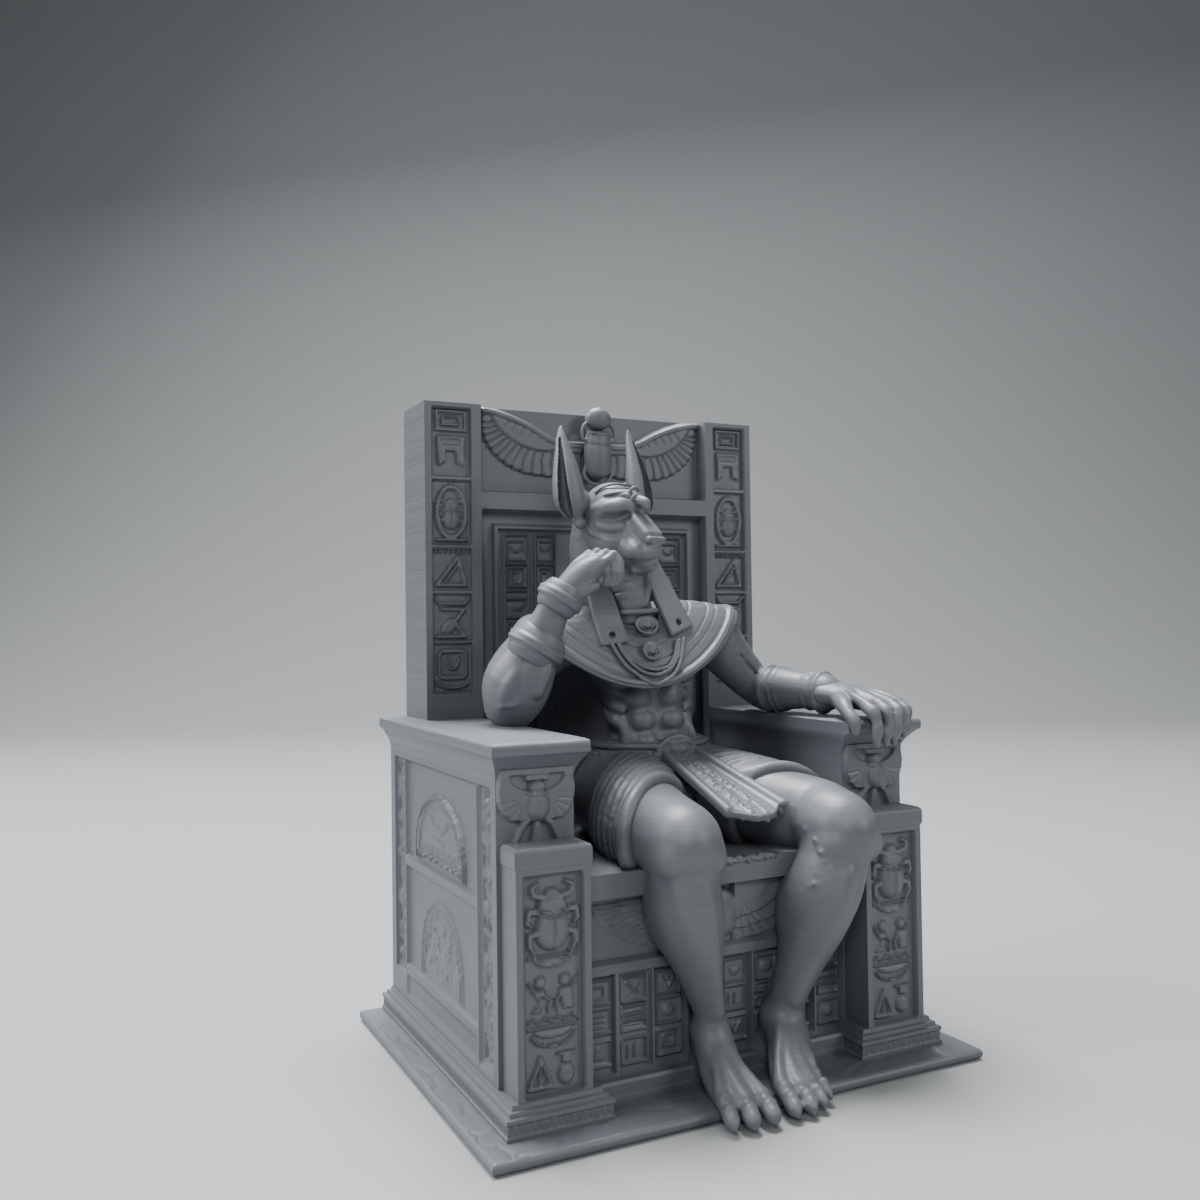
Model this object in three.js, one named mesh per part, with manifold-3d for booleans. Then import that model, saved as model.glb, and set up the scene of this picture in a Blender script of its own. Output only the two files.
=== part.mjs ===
// Enthroned jackal-headed figurine, printed in one piece: the figure leans its cheek on its right
// fist, on a carved throne with a high back slab, two block arms with front posts, and a thin plinth.
// Millimetres, +Z up, the front faces -Y, the origin is the middle of the plinth's underside.

import * as THREE from 'three';
import { mergeVertices } from 'three/addons/utils/BufferGeometryUtils.js';
import Module from 'manifold-3d';

const wasm = await Module();
wasm.setup();

// Driving dimensions of the throne
const plinth = { halfWidth: 56, halfDepth: 44.3, top: 2.4, round: 1.1 };
const step = {
  outer: 50.7, inner: 28.9, postFront: -37.7, seatFront: -31.5, back: 43.4,
  top: 6.05, mouldingTop: 7.9, mouldingIn: 0.9,
};
const arm = {
  inner: 32.4, outer: 48.5, front: -28.2, back: 41.5,
  coveFoot: 65.6, bandFoot: 70.1, top: 72.6, overhang: 2.3, innerOverhang: 1.6, frontOverhang: 4.4,
};
const post = { inner: 32.2, outer: 47.9, front: -35.6, capFront: -35.9, capFoot: 50, capTop: 53.5 };
const postPanel = { inner: 34, outer: 45.9, foot: 7.9, top: 48.2, depth: 1.5 };
const sidePanel = {
  back: 38, front: -25.6, foot: 9, top: 63.6, strip: 7.5, gap: 1.4, rail: 13, midRail: 40, depth: 0.9,
};
const seat = { front: -31, foot: 41.2, top: 46, panelFront: -27.4, ribFront: -28.8, signFront: -28.2 };
const back = { halfWidth: 44.9, front: 24, rear: 40.2, top: 146.5 };
const strip = { inner: 33.6, outer: 43, foot: 78.8, top: 145.2, depth: 1.4 };
const wingPanel = { halfWidth: 30.7, foot: 126, depth: 3.6 };
const innerPanel = { halfWidth: 30.7, top: 121.4, depth: 3.4 };
const signRaise = 0.8;

// Landmarks of the figure, read from front to back and from the seat up
const waist = { x: 3, y: 5 };
const head = { x: -8, y: 1, z: 116.4, yaw: 14 };
const collarNeck = [-3, 2.4, 98.4];

// A closed geometry with its shared corners merged becomes a solid that can be joined and cut
function solidOf(geometry) {
  geometry.deleteAttribute('normal');
  geometry.deleteAttribute('uv');
  const merged = mergeVertices(geometry, 1e-4);
  return new wasm.Manifold(new wasm.Mesh({
    numProp: 3,
    vertProperties: new Float32Array(merged.attributes.position.array),
    triVerts: new Uint32Array(merged.index.array),
  }));
}

function joined(solids) {
  return solids.reduce((whole, piece) => whole.add(piece));
}

// A block from its range along each axis
function block([x0, x1], [y0, y1], [z0, z1]) {
  const geometry = new THREE.BoxGeometry(Math.abs(x1 - x0), y1 - y0, z1 - z0);
  geometry.translate((x0 + x1) / 2, (y0 + y1) / 2, (z0 + z1) / 2);
  return solidOf(geometry);
}

// A plate whose outline is drawn in x and z as seen from the front, between two depths
function frontPlate(shape, frontY, backY, segments = 4) {
  const geometry = new THREE.ExtrudeGeometry(shape, {
    depth: backY - frontY, bevelEnabled: false, curveSegments: segments, steps: 1,
  });
  geometry.rotateX(Math.PI / 2);
  geometry.translate(0, backY, 0);
  return solidOf(geometry);
}

// A plate on a side face: drawn in y and z, raised outwards from the plane at faceX
function sidePlate(shape, side, faceX, raise, segments = 4) {
  const geometry = new THREE.ExtrudeGeometry(shape, {
    depth: raise + 1, bevelEnabled: false, curveSegments: segments, steps: 1,
  });
  const turn = new THREE.Matrix4().makeBasis(
    new THREE.Vector3(0, side, 0), new THREE.Vector3(0, 0, 1), new THREE.Vector3(side, 0, 0),
  );
  geometry.translate(0, 0, faceX - 1);
  geometry.applyMatrix4(turn);
  return solidOf(geometry);
}

// A stack of level rectangles [z, x0, x1, y0, y1], joined face to face into one moulding
function moulding(levels) {
  const geometry = new THREE.CylinderGeometry(1, 1, 1, 4, levels.length - 1);
  const place = geometry.attributes.position;
  for (let i = 0; i < place.count; i += 1) {
    const [z, x0, x1, y0, y1] = levels[Math.round((place.getY(i) + 0.5) * (levels.length - 1))];
    const turnX = Math.sign(Math.round(place.getX(i) * 10) - Math.round(place.getZ(i) * 10));
    const turnY = -Math.sign(Math.round(place.getX(i) * 10) + Math.round(place.getZ(i) * 10));
    place.setXYZ(i, (x0 + x1) / 2 + turnX * (x1 - x0) / 2, (y0 + y1) / 2 + turnY * (y1 - y0) / 2, z);
  }
  return solidOf(geometry);
}

// A limb: a cylinder whose rings are carried on a smooth curve through stations of
// [x, y, z, half-width, half-depth]. The half-width lies along `across` as nearly as it can.
function limb(stations, { across = [1, 0, 0], sides = 10, steps = 1, pleats = 0 } = {}) {
  const centres = new THREE.CatmullRomCurve3(stations.map(([x, y, z]) => new THREE.Vector3(x, y, z)));
  const sizes = new THREE.CatmullRomCurve3(stations.map((row) => new THREE.Vector3(row[3], row[4], 0)));
  const geometry = new THREE.CylinderGeometry(1, 1, 1, sides, (stations.length - 1) * steps);
  const place = geometry.attributes.position;
  const wide = new THREE.Vector3();
  const deep = new THREE.Vector3();
  for (let i = 0; i < place.count; i += 1) {
    const along = place.getY(i) + 0.5;
    const centre = centres.getPoint(along);
    const size = sizes.getPoint(along);
    const tangent = centres.getTangent(along);
    wide.set(...across).addScaledVector(tangent, -tangent.dot(wide)).normalize();
    deep.crossVectors(wide, tangent);
    const turn = Math.atan2(place.getX(i), place.getZ(i));
    const swell = 1 + pleats * Math.cos(turn * sides / 2);
    centre.addScaledVector(wide, size.x * swell * place.getX(i));
    centre.addScaledVector(deep, size.y * swell * place.getZ(i));
    place.setXYZ(i, centre.x, centre.y, centre.z);
  }
  return solidOf(geometry);
}

// An egg-shaped mass: centre, three half-sizes, and turns in degrees about x, y and z
function mass(centre, radii, turns = [0, 0, 0], sides = 6) {
  const geometry = new THREE.SphereGeometry(1, sides, Math.max(4, sides - 2));
  geometry.scale(...radii);
  geometry.rotateX(THREE.MathUtils.degToRad(turns[0]));
  geometry.rotateY(THREE.MathUtils.degToRad(turns[1]));
  geometry.rotateZ(THREE.MathUtils.degToRad(turns[2]));
  geometry.translate(...centre);
  return solidOf(geometry);
}

// A slab along two points, with its width along `across` and its thickness square to both
function slab(from, to, halfWidths, thickness, across) {
  const start = [...from, halfWidths[0] * Math.SQRT2, thickness / 2 * Math.SQRT2];
  const end = [...to, halfWidths[1] * Math.SQRT2, thickness / 2 * Math.SQRT2];
  const direction = new THREE.Vector3(...to).sub(new THREE.Vector3(...from)).normalize();
  const wide = new THREE.Vector3(...across).addScaledVector(direction, -direction.dot(
    new THREE.Vector3(...across),
  )).normalize();
  const deep = new THREE.Vector3().crossVectors(wide, direction);
  const geometry = new THREE.BoxGeometry(1, 1, 1);
  const place = geometry.attributes.position;
  for (let i = 0; i < place.count; i += 1) {
    const row = place.getY(i) < 0 ? start : end;
    const corner = new THREE.Vector3(row[0], row[1], row[2]);
    corner.addScaledVector(wide, place.getX(i) * Math.SQRT2 * row[3]);
    corner.addScaledVector(deep, place.getZ(i) * Math.SQRT2 * row[4]);
    place.setXYZ(i, corner.x, corner.y, corner.z);
  }
  return solidOf(geometry);
}

// Outlines in the plane of a face
function polygon(points) {
  return new THREE.Shape(points.map(([u, v]) => new THREE.Vector2(u, v)));
}

function oval(u, v, halfWidth, halfHeight) {
  return new THREE.Shape().absellipse(u, v, halfWidth, halfHeight, 0, Math.PI * 2);
}

function rectangle(u, v, halfWidth, halfHeight) {
  return polygon([
    [u - halfWidth, v - halfHeight], [u + halfWidth, v - halfHeight],
    [u + halfWidth, v + halfHeight], [u - halfWidth, v + halfHeight],
  ]);
}

function framed(shape, hole) {
  shape.holes.push(hole);
  return shape;
}

// A square cloth sign with a notch between its two feet
function hangingCloth(u, topV, halfWidth, drop) {
  const notch = halfWidth * 0.45;
  return polygon([
    [u - halfWidth, topV - drop], [u - notch, topV - drop], [u - notch, topV - drop * 0.4],
    [u + notch, topV - drop * 0.4], [u + notch, topV - drop], [u + halfWidth, topV - drop],
    [u + halfWidth, topV], [u - halfWidth, topV],
  ]);
}

function bowl(u, topV, halfWidth, drop) {
  const shape = new THREE.Shape();
  shape.moveTo(u - halfWidth, topV);
  shape.quadraticCurveTo(u, topV - drop * 2, u + halfWidth, topV);
  return shape;
}

function arch(u, footV, halfWidth, height) {
  const shape = new THREE.Shape();
  shape.moveTo(u - halfWidth, footV);
  shape.lineTo(u + halfWidth, footV);
  shape.absellipse(u, footV, halfWidth, height, 0, Math.PI);
  return shape;
}

// The two ends of a range on one side of the throne, lowest first
function sideRange(side, inner, outer) {
  return side > 0 ? [inner, outer] : [-outer, -inner];
}

// The plinth: a thin plate with a round nosing on its edge
function plinthPlate() {
  const outline = rectangle(0, 0, plinth.halfWidth - plinth.round, plinth.halfDepth - plinth.round);
  const geometry = new THREE.ExtrudeGeometry(outline, {
    depth: plinth.top - plinth.round * 2, bevelEnabled: true, bevelSegments: 2,
    bevelThickness: plinth.round, bevelSize: plinth.round, steps: 1,
  });
  geometry.translate(0, 0, plinth.round);
  return solidOf(geometry);
}

// A plain rise with two small steps drawn in over it
function steppedFoot(x0, x1, front) {
  const levels = [];
  const rise = (step.mouldingTop - step.top) / 2;
  for (let tread = 0; tread < 3; tread += 1) {
    const inset = tread * step.mouldingIn;
    const foot = tread === 0 ? plinth.top - 0.5 : step.top + (tread - 1) * rise;
    const head = step.top + tread * rise;
    for (const z of [foot, head]) {
      levels.push([z, x0 + inset, x1 - inset, front + inset, step.back - inset]);
    }
  }
  const rows = levels.map(([z, ...sides], index) => [z + index * 1e-3, ...sides]);
  return moulding(rows);
}

// One arm: a block with a coved cornice, sunk side panels and a post with a cap in front
function armBlock(side) {
  const width = sideRange(side, arm.inner, arm.outer);
  const body = block(width, [arm.front, arm.back], [plinth.top, arm.coveFoot + 1]);
  const cove = [
    [arm.coveFoot, 0], [arm.coveFoot + 2.2, 0.35], [arm.coveFoot + 3.6, 1.05], [arm.bandFoot, 2.1],
    [arm.bandFoot + 0.01, arm.overhang], [arm.top - 0.35, arm.overhang], [arm.top, 1.95],
  ];
  const cornice = moulding(cove.map(([z, flare]) => {
    const inward = Math.min(flare, arm.innerOverhang);
    const forward = flare * arm.frontOverhang / arm.overhang;
    const [x0, x1] = sideRange(side, arm.inner - inward, arm.outer + flare);
    return [z, x0, x1, arm.front - forward, arm.back + flare * 0.6];
  }));
  const postShaft = block(
    sideRange(side, post.inner + 0.3, post.outer - 0.3),
    [post.front, arm.front + 1], [plinth.top, post.capFoot],
  );
  const cap = block(
    sideRange(side, post.inner, post.outer), [post.capFront, arm.front + 1], [post.capFoot, post.capTop],
  );
  const sunk = block(
    sideRange(side, postPanel.inner, postPanel.outer),
    [post.front - 1, post.front + postPanel.depth], [postPanel.foot, postPanel.top],
  );
  return joined([body, cornice, postShaft, cap]).subtract(sunk).subtract(joined(sideFields(side)));
}

// The sunk fields of an arm's outer side: a strip at each end, and three fields between rails
function sideFields(side) {
  const face = sideRange(side, arm.outer - sidePanel.depth, arm.outer + 1);
  const margin = sidePanel.strip + sidePanel.gap;
  const middle = [sidePanel.front + margin, sidePanel.back - margin];
  const heights = [
    [sidePanel.foot, sidePanel.rail - 0.6],
    [sidePanel.rail + 0.6, sidePanel.midRail - 0.8],
    [sidePanel.midRail + 0.8, sidePanel.top],
  ];
  const strips = [
    [sidePanel.front, sidePanel.front + sidePanel.strip],
    [sidePanel.back - sidePanel.strip, sidePanel.back],
  ];
  const fields = heights.map((range) => block(face, middle, range));
  const ends = strips.map((range) => block(face, range, [sidePanel.rail + 0.6, sidePanel.top]));
  return [...fields, ...ends];
}

// The round-topped relief with waves at its foot, and the fainter arch under it
function sideRelief(side) {
  const floor = arm.outer - sidePanel.depth;
  const centre = side * 7;
  const foot = sidePanel.midRail + 1.6;
  const upper = framed(arch(centre, foot, 12.5, 16), arch(centre, foot + 1.2, 10.7, 13.4));
  const lower = arch(centre, sidePanel.rail + 2, 12, 19);
  return [sidePlate(upper, side, floor, 0.75, 5), sidePlate(lower, side, floor, 0.4)];
}

// A winged beetle on an arm's front: scalloped wings round a bowl, an egg body and splayed legs
function armBeetle(side) {
  const x = side * (arm.inner + arm.outer) / 2;
  const face = arm.front;
  const halfWidth = (arm.outer - arm.inner) / 2;
  const wings = new THREE.Shape();
  wings.moveTo(x - halfWidth, 66.5);
  wings.quadraticCurveTo(x - halfWidth - 1.2, 61.8, x - halfWidth + 1.2, 58.6);
  wings.lineTo(x - 1.8, 57.4);
  wings.lineTo(x + 1.8, 57.4);
  wings.lineTo(x + halfWidth - 1.2, 58.6);
  wings.quadraticCurveTo(x + halfWidth + 1.2, 61.8, x + halfWidth, 66.5);
  const plate = frontPlate(wings, face - 1.3, face + 1);
  const well = frontPlate(bowl(x, 66.2, 4.6, 3), face - 2, face - 0.2, 5);
  const legs = [-1, 1].map((turn) => frontPlate(polygon([
    [x + turn * 0.8, 58.4], [x + turn * 2.4, 58.4], [x + turn * 4.6, 54], [x + turn * 3.4, 54],
  ]), face - 1.1, face + 1));
  const tail = frontPlate(
    polygon([[x - 0.6, 58], [x + 0.6, 58], [x + 1.5, 53.6], [x - 1.5, 53.6]]), face - 1.2, face,
  );
  const egg = mass([x, face - 0.9, 60.4], [2.5, 1.7, 3.3]);
  const crown = mass([x, face - 0.9, 64], [1.6, 1.3, 1.3]);
  return joined([plate.subtract(well), ...legs, tail, egg, crown]);
}

// A standing scarab on a face at faceY: wing-cases, shield and head, and six bent legs if asked
function scarab(x, z, size, faceY, hasLegs) {
  const parts = [
    mass([x, faceY, z - 0.18 * size], [0.3 * size, 0.2 * size, 0.36 * size]),
    mass([x, faceY, z + 0.24 * size], [0.25 * size, 0.16 * size, 0.2 * size]),
  ];
  const bends = [[0.24, 0.24], [-0.12, -0.3]];
  for (const turn of hasLegs ? [-1, 1] : []) {
    for (const [rise, bend] of bends) {
      const near = [x + turn * 0.16 * size, z + rise * size * 0.7];
      const far = [x + turn * 0.42 * size, z + (rise + bend) * size];
      const half = 0.045 * size;
      parts.push(frontPlate(polygon([
        [near[0], near[1] - half], [far[0], far[1] - half],
        [far[0], far[1] + half], [near[0], near[1] + half],
      ]), faceY - 0.07 * size, faceY + 0.3));
    }
  }
  return joined(parts);
}

// The signs of a post, from the scarab down to the tent and vase
function postSigns(side) {
  const x = side * (postPanel.inner + postPanel.outer) / 2;
  const floor = post.front + postPanel.depth;
  const face = floor - signRaise - 0.2;
  const pair = [x - 2.6, x + 2.6];
  const plates = [
    bowl(x, 32.6, 4.6, 1.5),
    bowl(x, 19.6, 4.4, 1.4),
    rectangle(x, 21.2, 4.2, 0.45),
    polygon([[x - 4.2, 9], [x - 0.6, 9], [x - 2.2, 15]]),
    oval(x + 2.6, 12.2, 1.5, 2.4),
    ...pair.map((u) => polygon([[u - 1.5, 27], [u - 0.4, 22.6], [u + 0.4, 22.6], [u + 1.5, 27]])),
  ];
  const heads = pair.map((u) => mass([u, floor - 0.2, 28.2], [1.2, 1, 1.2], [0, 0, 0], 5));
  return [
    scarab(x, 40.4, 14, floor, true),
    ...plates.map((shape) => frontPlate(shape, face, floor + 0.5)),
    ...heads,
  ];
}

// Seat block: slab, sunk feather field with rail, and a grid of framed square signs
function seatBlock() {
  const half = arm.inner + 0.5;
  const parts = [
    block([-half, half], [seat.front, back.front + 1], [seat.foot, seat.top]),
    block([-half, half], [seat.panelFront, back.front + 1], [plinth.top, seat.foot + 1]),
    block([-half, half], [seat.ribFront, seat.panelFront + 1], [25.8, 28.2]),
    block([-half, half], [seat.ribFront, seat.panelFront + 1], [plinth.top, 6.2]),
  ];
  const columns = 8;
  const pitch = 8;
  for (let rib = 0; rib <= columns; rib += 1) {
    const x = (rib - columns / 2) * pitch + 0.3;
    if (rib % 2 === 0) {
      parts.push(block([x - 0.45, x + 0.45], [seat.ribFront, seat.panelFront + 1], [6, 26]));
    }
    if (rib < columns) {
      parts.push(...signColumn(x + pitch / 2, rib % 2 === 0));
    }
  }
  for (const side of [-1, 1]) {
    for (let feather = 0; feather < 3; feather += 1) {
      const size = 1 - feather * 0.24;
      const wing = new THREE.Shape();
      wing.moveTo(side * 5, 40.6);
      wing.lineTo(side * (5 + 23 * size), 40.6);
      wing.quadraticCurveTo(side * (5 + 18 * size), 40.6 - 12 * size, side * 5, 40.6 - 11.5 * size);
      parts.push(frontPlate(wing, seat.panelFront - 0.45 * (feather + 1), seat.panelFront + 0.5));
    }
  }
  parts.push(mass([0.6, seat.panelFront, 34.4], [4.6, 1.7, 5.6]));
  return joined(parts);
}

// One column of framed squares, with two bars between them in every other column
function signColumn(x, bars) {
  const rows = bars ? [[10, 2.3], [16.4, 2.3], [22.3, 2.3]] : [[10, 2.3], [16.4, 1.2], [22.1, 2.3]];
  return rows.map(([z, halfHeight]) => {
    return frontPlate(rectangle(x, z, 2.9, halfHeight), seat.signFront, seat.panelFront + 0.5);
  });
}

// Back slab with its sunk fields cut, and everything that stands in them
function backSlab() {
  const slabBody = block([-back.halfWidth, back.halfWidth], [back.front, back.rear], [plinth.top, back.top]);
  const strips = [-1, 1].map((side) => block(
    sideRange(side, strip.inner, strip.outer),
    [back.front - 1, back.front + strip.depth], [strip.foot, strip.top],
  ));
  const wingField = block(
    [-wingPanel.halfWidth, wingPanel.halfWidth],
    [back.front - 1, back.front + wingPanel.depth], [wingPanel.foot, back.top + 1],
  );
  const innerField = block(
    [-innerPanel.halfWidth, innerPanel.halfWidth],
    [back.front - 1, back.front + innerPanel.depth], [seat.top, innerPanel.top],
  );
  const sunk = slabBody.subtract(joined([...strips, wingField, innerField]));
  const signs = [-1, 1].flatMap((side) => [...stripSigns(side), wing(side), ...innerFrame(side)]);
  return joined([sunk, ...signs, finial()]);
}

// The signs of one glyph strip, from the top: squares, bowls, leaning tents and a ringed scarab
function stripSigns(side) {
  const x = side * (strip.inner + strip.outer) / 2;
  const floor = back.front + strip.depth;
  const shapes = [
    rectangle(x, 142.4, 3.4, 2.4),
    hangingCloth(x, 138.6, 3.4, 6.4),
    rectangle(x, 128.9, 4.5, 0.5),
    oval(x, 120.8, 4.1, 6.6),
    rectangle(x, 112.9, 4.5, 0.6),
    polygon([[x - 3.6, 103.4], [x + 3.4, 103.4], [x + 2, 110.8]]),
    rectangle(x, 102.2, 4.5, 0.4),
    bowl(x, 101, 4, 1.2),
    polygon([[x - 3.4, 91.6], [x + 3.6, 91.6], [x + 1.2, 98.4]]),
    rectangle(x, 90.4, 4.5, 0.5),
    framed(rectangle(x, 85, 3.3, 3.2), rectangle(x, 85.7, 1.8, 1.6)),
    bowl(x, 80.9, 4, 0.9),
  ];
  const plates = shapes.map((shape) => frontPlate(shape, floor - signRaise, floor + 0.5));
  return [...plates, scarab(x, 120.4, 10, floor - signRaise, false)];
}

// A spread wing: one scalloped plate of long feathers, the shorter row over it and the thick arm
function wing(side) {
  const floor = back.front + wingPanel.depth;
  const feathers = 8;
  const edge = [[side * 3.5, 139]];
  for (let feather = 0; feather < feathers; feather += 1) {
    for (const nick of [0.12, 0.5, 0.88]) {
      const share = (feather + nick) / feathers;
      const fall = THREE.MathUtils.degToRad(92 - 96 * share);
      const length = 8.4 - 0.7 * share + 3.4 * Math.sin(Math.PI * share) + (nick === 0.5 ? 0.9 : 0);
      edge.push([
        side * (5 + 17 * share + Math.cos(fall) * length),
        138.8 + 3 * share * share - Math.sin(fall) * length,
      ]);
    }
  }
  edge.push([side * 27, 143.6]);
  const armLine = polygon([
    [side * 3.5, 138.6], [side * 14, 139], [side * 22, 141.2], [side * 29.4, 144.6],
    [side * 29.4, 145.8], [side * 20, 143.2], [side * 12, 140.6], [side * 3.5, 140],
  ]);
  const coverts = polygon([
    [side * 3.5, 139], [side * 24, 142.4], [side * 20, 137.6], [side * 12, 134.6], [side * 3.5, 134.2],
  ]);
  return joined([
    frontPlate(polygon(edge), floor - 1, floor + 0.5),
    frontPlate(coverts, floor - 1.7, floor + 0.5),
    frontPlate(armLine, floor - 2.2, floor + 0.5),
  ]);
}

// The frame and the glyph columns in the field behind the figure
function innerFrame(side) {
  const floor = back.front + innerPanel.depth;
  const face = floor - 1.9;
  const parts = [
    block(sideRange(side, 26.1, 27.3), [face, floor + 0.5], [seat.top, 118.3]),
    block(sideRange(side, -0.5, 26.5), [face, floor + 0.5], [117.1, 118.3]),
  ];
  const squares = 4;
  for (let row = 0; row < squares; row += 1) {
    const z = 111.6 - row * 7;
    parts.push(frontPlate(rectangle(side * 21.2, z, 3.2, 2.6), floor - 0.9, floor + 0.5));
  }
  parts.push(frontPlate(rectangle(side * 13.7, 104, 2.4, 11), floor - 0.9, floor + 0.5));
  return parts;
}

// The scarab with its disc, standing above the head of the back slab
function finial() {
  const y = back.front + 0.6;
  const ring = framed(oval(0, 141.6, 4.6, 4), oval(0, 142, 3.3, 2.9));
  return joined([
    mass([0, y, 136.4], [3.6, 2.6, 5.5]),
    mass([0, y - 0.6, 145.9], [3.5, 2.3, 3.1]),
    frontPlate(ring, y - 0.6, y + 3.4, 3),
    frontPlate(bowl(0, 132.6, 3.8, 3.2), y + 0.6, y + 3.4),
  ]);
}

// The trunk: hips on the seat, waist, ribs and chest, leaning to the right fist
function trunk() {
  const body = limb([
    [3.2, 5.4, 62, 12.6, 8.6], [3, 5, 66, 13, 8.8], [2.2, 5, 73, 12.4, 8.8], [1, 5.6, 81, 14.6, 9.8],
    [-0.6, 6, 88, 17, 10.4], [-2, 5.6, 93, 13, 7],
  ], { sides: 12 });
  const parts = [body];
  for (const side of [-1, 1]) {
    for (let row = 0; row < 3; row += 1) {
      const x = 2.6 - row * 0.55 + side * (3.3 + row * 0.3);
      parts.push(mass([x, -2.2 - row * 0.5, 69.4 + row * 4.4], [3.3, 2, 2.4], [6, 0, 0]));
    }
    parts.push(mass([1.6 + side * 9.2, 0, 77.4], [4.2, 2.8, 4.8], [0, side * -24, side * -24]));
  }
  return joined(parts);
}

// The broad collar is a draped disc. A point of its upper face from the turn about the neck, 0 to
// the wearer's left, and the reach, 0 at the neck and 1 at the rim, lifted square to the face.
function collarPoint(turn, reach, lift = 0) {
  const front = Math.max(0, -Math.sin(turn));
  const rim = [
    -3 + Math.cos(turn) * 27.5, 3 + Math.sin(turn) * 12, 96 - 15.4 * front ** 2 + Math.cos(turn) * 1.6,
  ];
  const bulge = Math.sin(Math.PI * reach);
  const outward = 1.6 * bulge + lift * front;
  return [
    collarNeck[0] + (rim[0] - collarNeck[0]) * reach + Math.cos(turn) * outward * 0.4,
    collarNeck[1] + (rim[1] - collarNeck[1]) * reach + Math.sin(turn) * outward,
    collarNeck[2] + (rim[2] - collarNeck[2]) * reach + 1.6 * bulge * (1 - front) + lift * (1 - front),
  ];
}

// The collar's solid: under its middle, out to the rim's lower edge, and back up to the neck
function collar() {
  const rings = [[0.4, -7], [0.97, -1.8], [1.02, -1], [1, 0.3], [0.7, 0], [0.36, 0]];
  const geometry = new THREE.CylinderGeometry(1, 1, 1, 18, rings.length - 1);
  const place = geometry.attributes.position;
  for (let i = 0; i < place.count; i += 1) {
    const [reach, lift] = rings[Math.round((place.getY(i) + 0.5) * (rings.length - 1))];
    const isCentre = Math.hypot(place.getX(i), place.getZ(i)) < 0.5;
    const turn = Math.atan2(-place.getZ(i), place.getX(i));
    const underNeck = [collarNeck[0], collarNeck[1], collarNeck[2] + lift];
    place.setXYZ(i, ...(isCentre ? underNeck : collarPoint(turn, reach, lift)));
  }
  return solidOf(geometry);
}

// Head in its own frame: f runs forwards along the muzzle, r to the wearer's left, u up
function headPoint(forward, right, up) {
  const yaw = THREE.MathUtils.degToRad(head.yaw);
  return [
    head.x + forward * Math.sin(yaw) + right * Math.cos(yaw),
    head.y - forward * Math.cos(yaw) + right * Math.sin(yaw),
    head.z + up,
  ];
}

function jackalHead() {
  const yaw = THREE.MathUtils.degToRad(head.yaw);
  const acrossHead = [Math.cos(yaw), Math.sin(yaw), 0];
  const rows = [
    [-7.5, 0.5, 3.4, 4.4], [-5, 0.6, 5.8, 7.2], [0, 0.4, 7.1, 8.8], [4, -0.6, 6.8, 8.2],
    [7.5, -2.4, 5.2, 6.4], [10.6, -4.1, 3.8, 4.9], [13.6, -5, 3.2, 4], [15.8, -5.2, 2.2, 2.9],
  ];
  const skull = limb(
    rows.map(([forward, up, wide, deep]) => [...headPoint(forward, 0, up), wide, deep]),
    { across: acrossHead, sides: 10 },
  );
  const nose = mass(headPoint(15.2, 0, -3.4), [1.7, 1.5, 1.2], [0, 0, head.yaw]);
  const ears = [-1, 1].map((side) => ear(side));
  return joined([skull, nose, ...ears]);
}

// A tall ear: a tapering shell with a long hollow that opens forwards and outwards
function ear(side) {
  const foot = headPoint(-2.2, side * 5.6, 4);
  const tip = headPoint(-5.4, side * 8.8, 23.6);
  const rise = (share, bow, forward, wide, deep) => [
    foot[0] + (tip[0] - foot[0]) * share + side * bow,
    foot[1] + (tip[1] - foot[1]) * share - forward,
    foot[2] + (tip[2] - foot[2]) * share,
    wide, deep,
  ];
  const shell = limb([
    rise(0, 0, 0, 3.9, 2.8), rise(0.25, 0.7, 0, 4.1, 2.7), rise(0.55, 0.7, 0, 3, 2),
    rise(0.85, 0.3, 0, 1.5, 1.1), rise(1, 0, 0, 0.5, 0.4),
  ], { across: [1, side * 0.5, 0], sides: 8 });
  const hollow = limb([
    rise(0.12, 1.2, 2.6, 1.6, 1.4), rise(0.3, 2.3, 2.6, 2.4, 1.6), rise(0.6, 2, 2.6, 1.5, 1.1),
    rise(0.9, 1.3, 2.6, 0.3, 0.3),
  ], { across: [1, side * 0.5, 0], sides: 5 });
  return shell.subtract(hollow);
}

// The head-cloth behind the jaw and its two flat lappets
function headCloth() {
  const fall = limb([
    [-8.6, 5.6, 119, 6.6, 3.4], [-8, 6.6, 112, 8, 4.2], [-6.6, 7, 104, 8.6, 4.6], [-4.6, 6.5, 97, 8.2, 5],
  ], { sides: 8 });
  const neck = limb([
    [-6.6, 0.5, 110, 4.9, 5], [-3, 1, 96, 5.4, 5.2],
  ], { sides: 8 });
  const lappets = [
    slab([-12.6, 2.5, 106], collarPoint(-Math.PI / 2 - 0.5, 0.6, 0.5), [2.8, 3.3], 1.6, [1, -0.2, 0]),
    slab([0.2, 0, 108], collarPoint(-Math.PI / 2 + 0.62, 0.56, 0.5), [2.8, 3.6], 1.6, [1, 0.15, 0]),
  ];
  return joined([fall, neck, ...lappets]);
}

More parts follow.
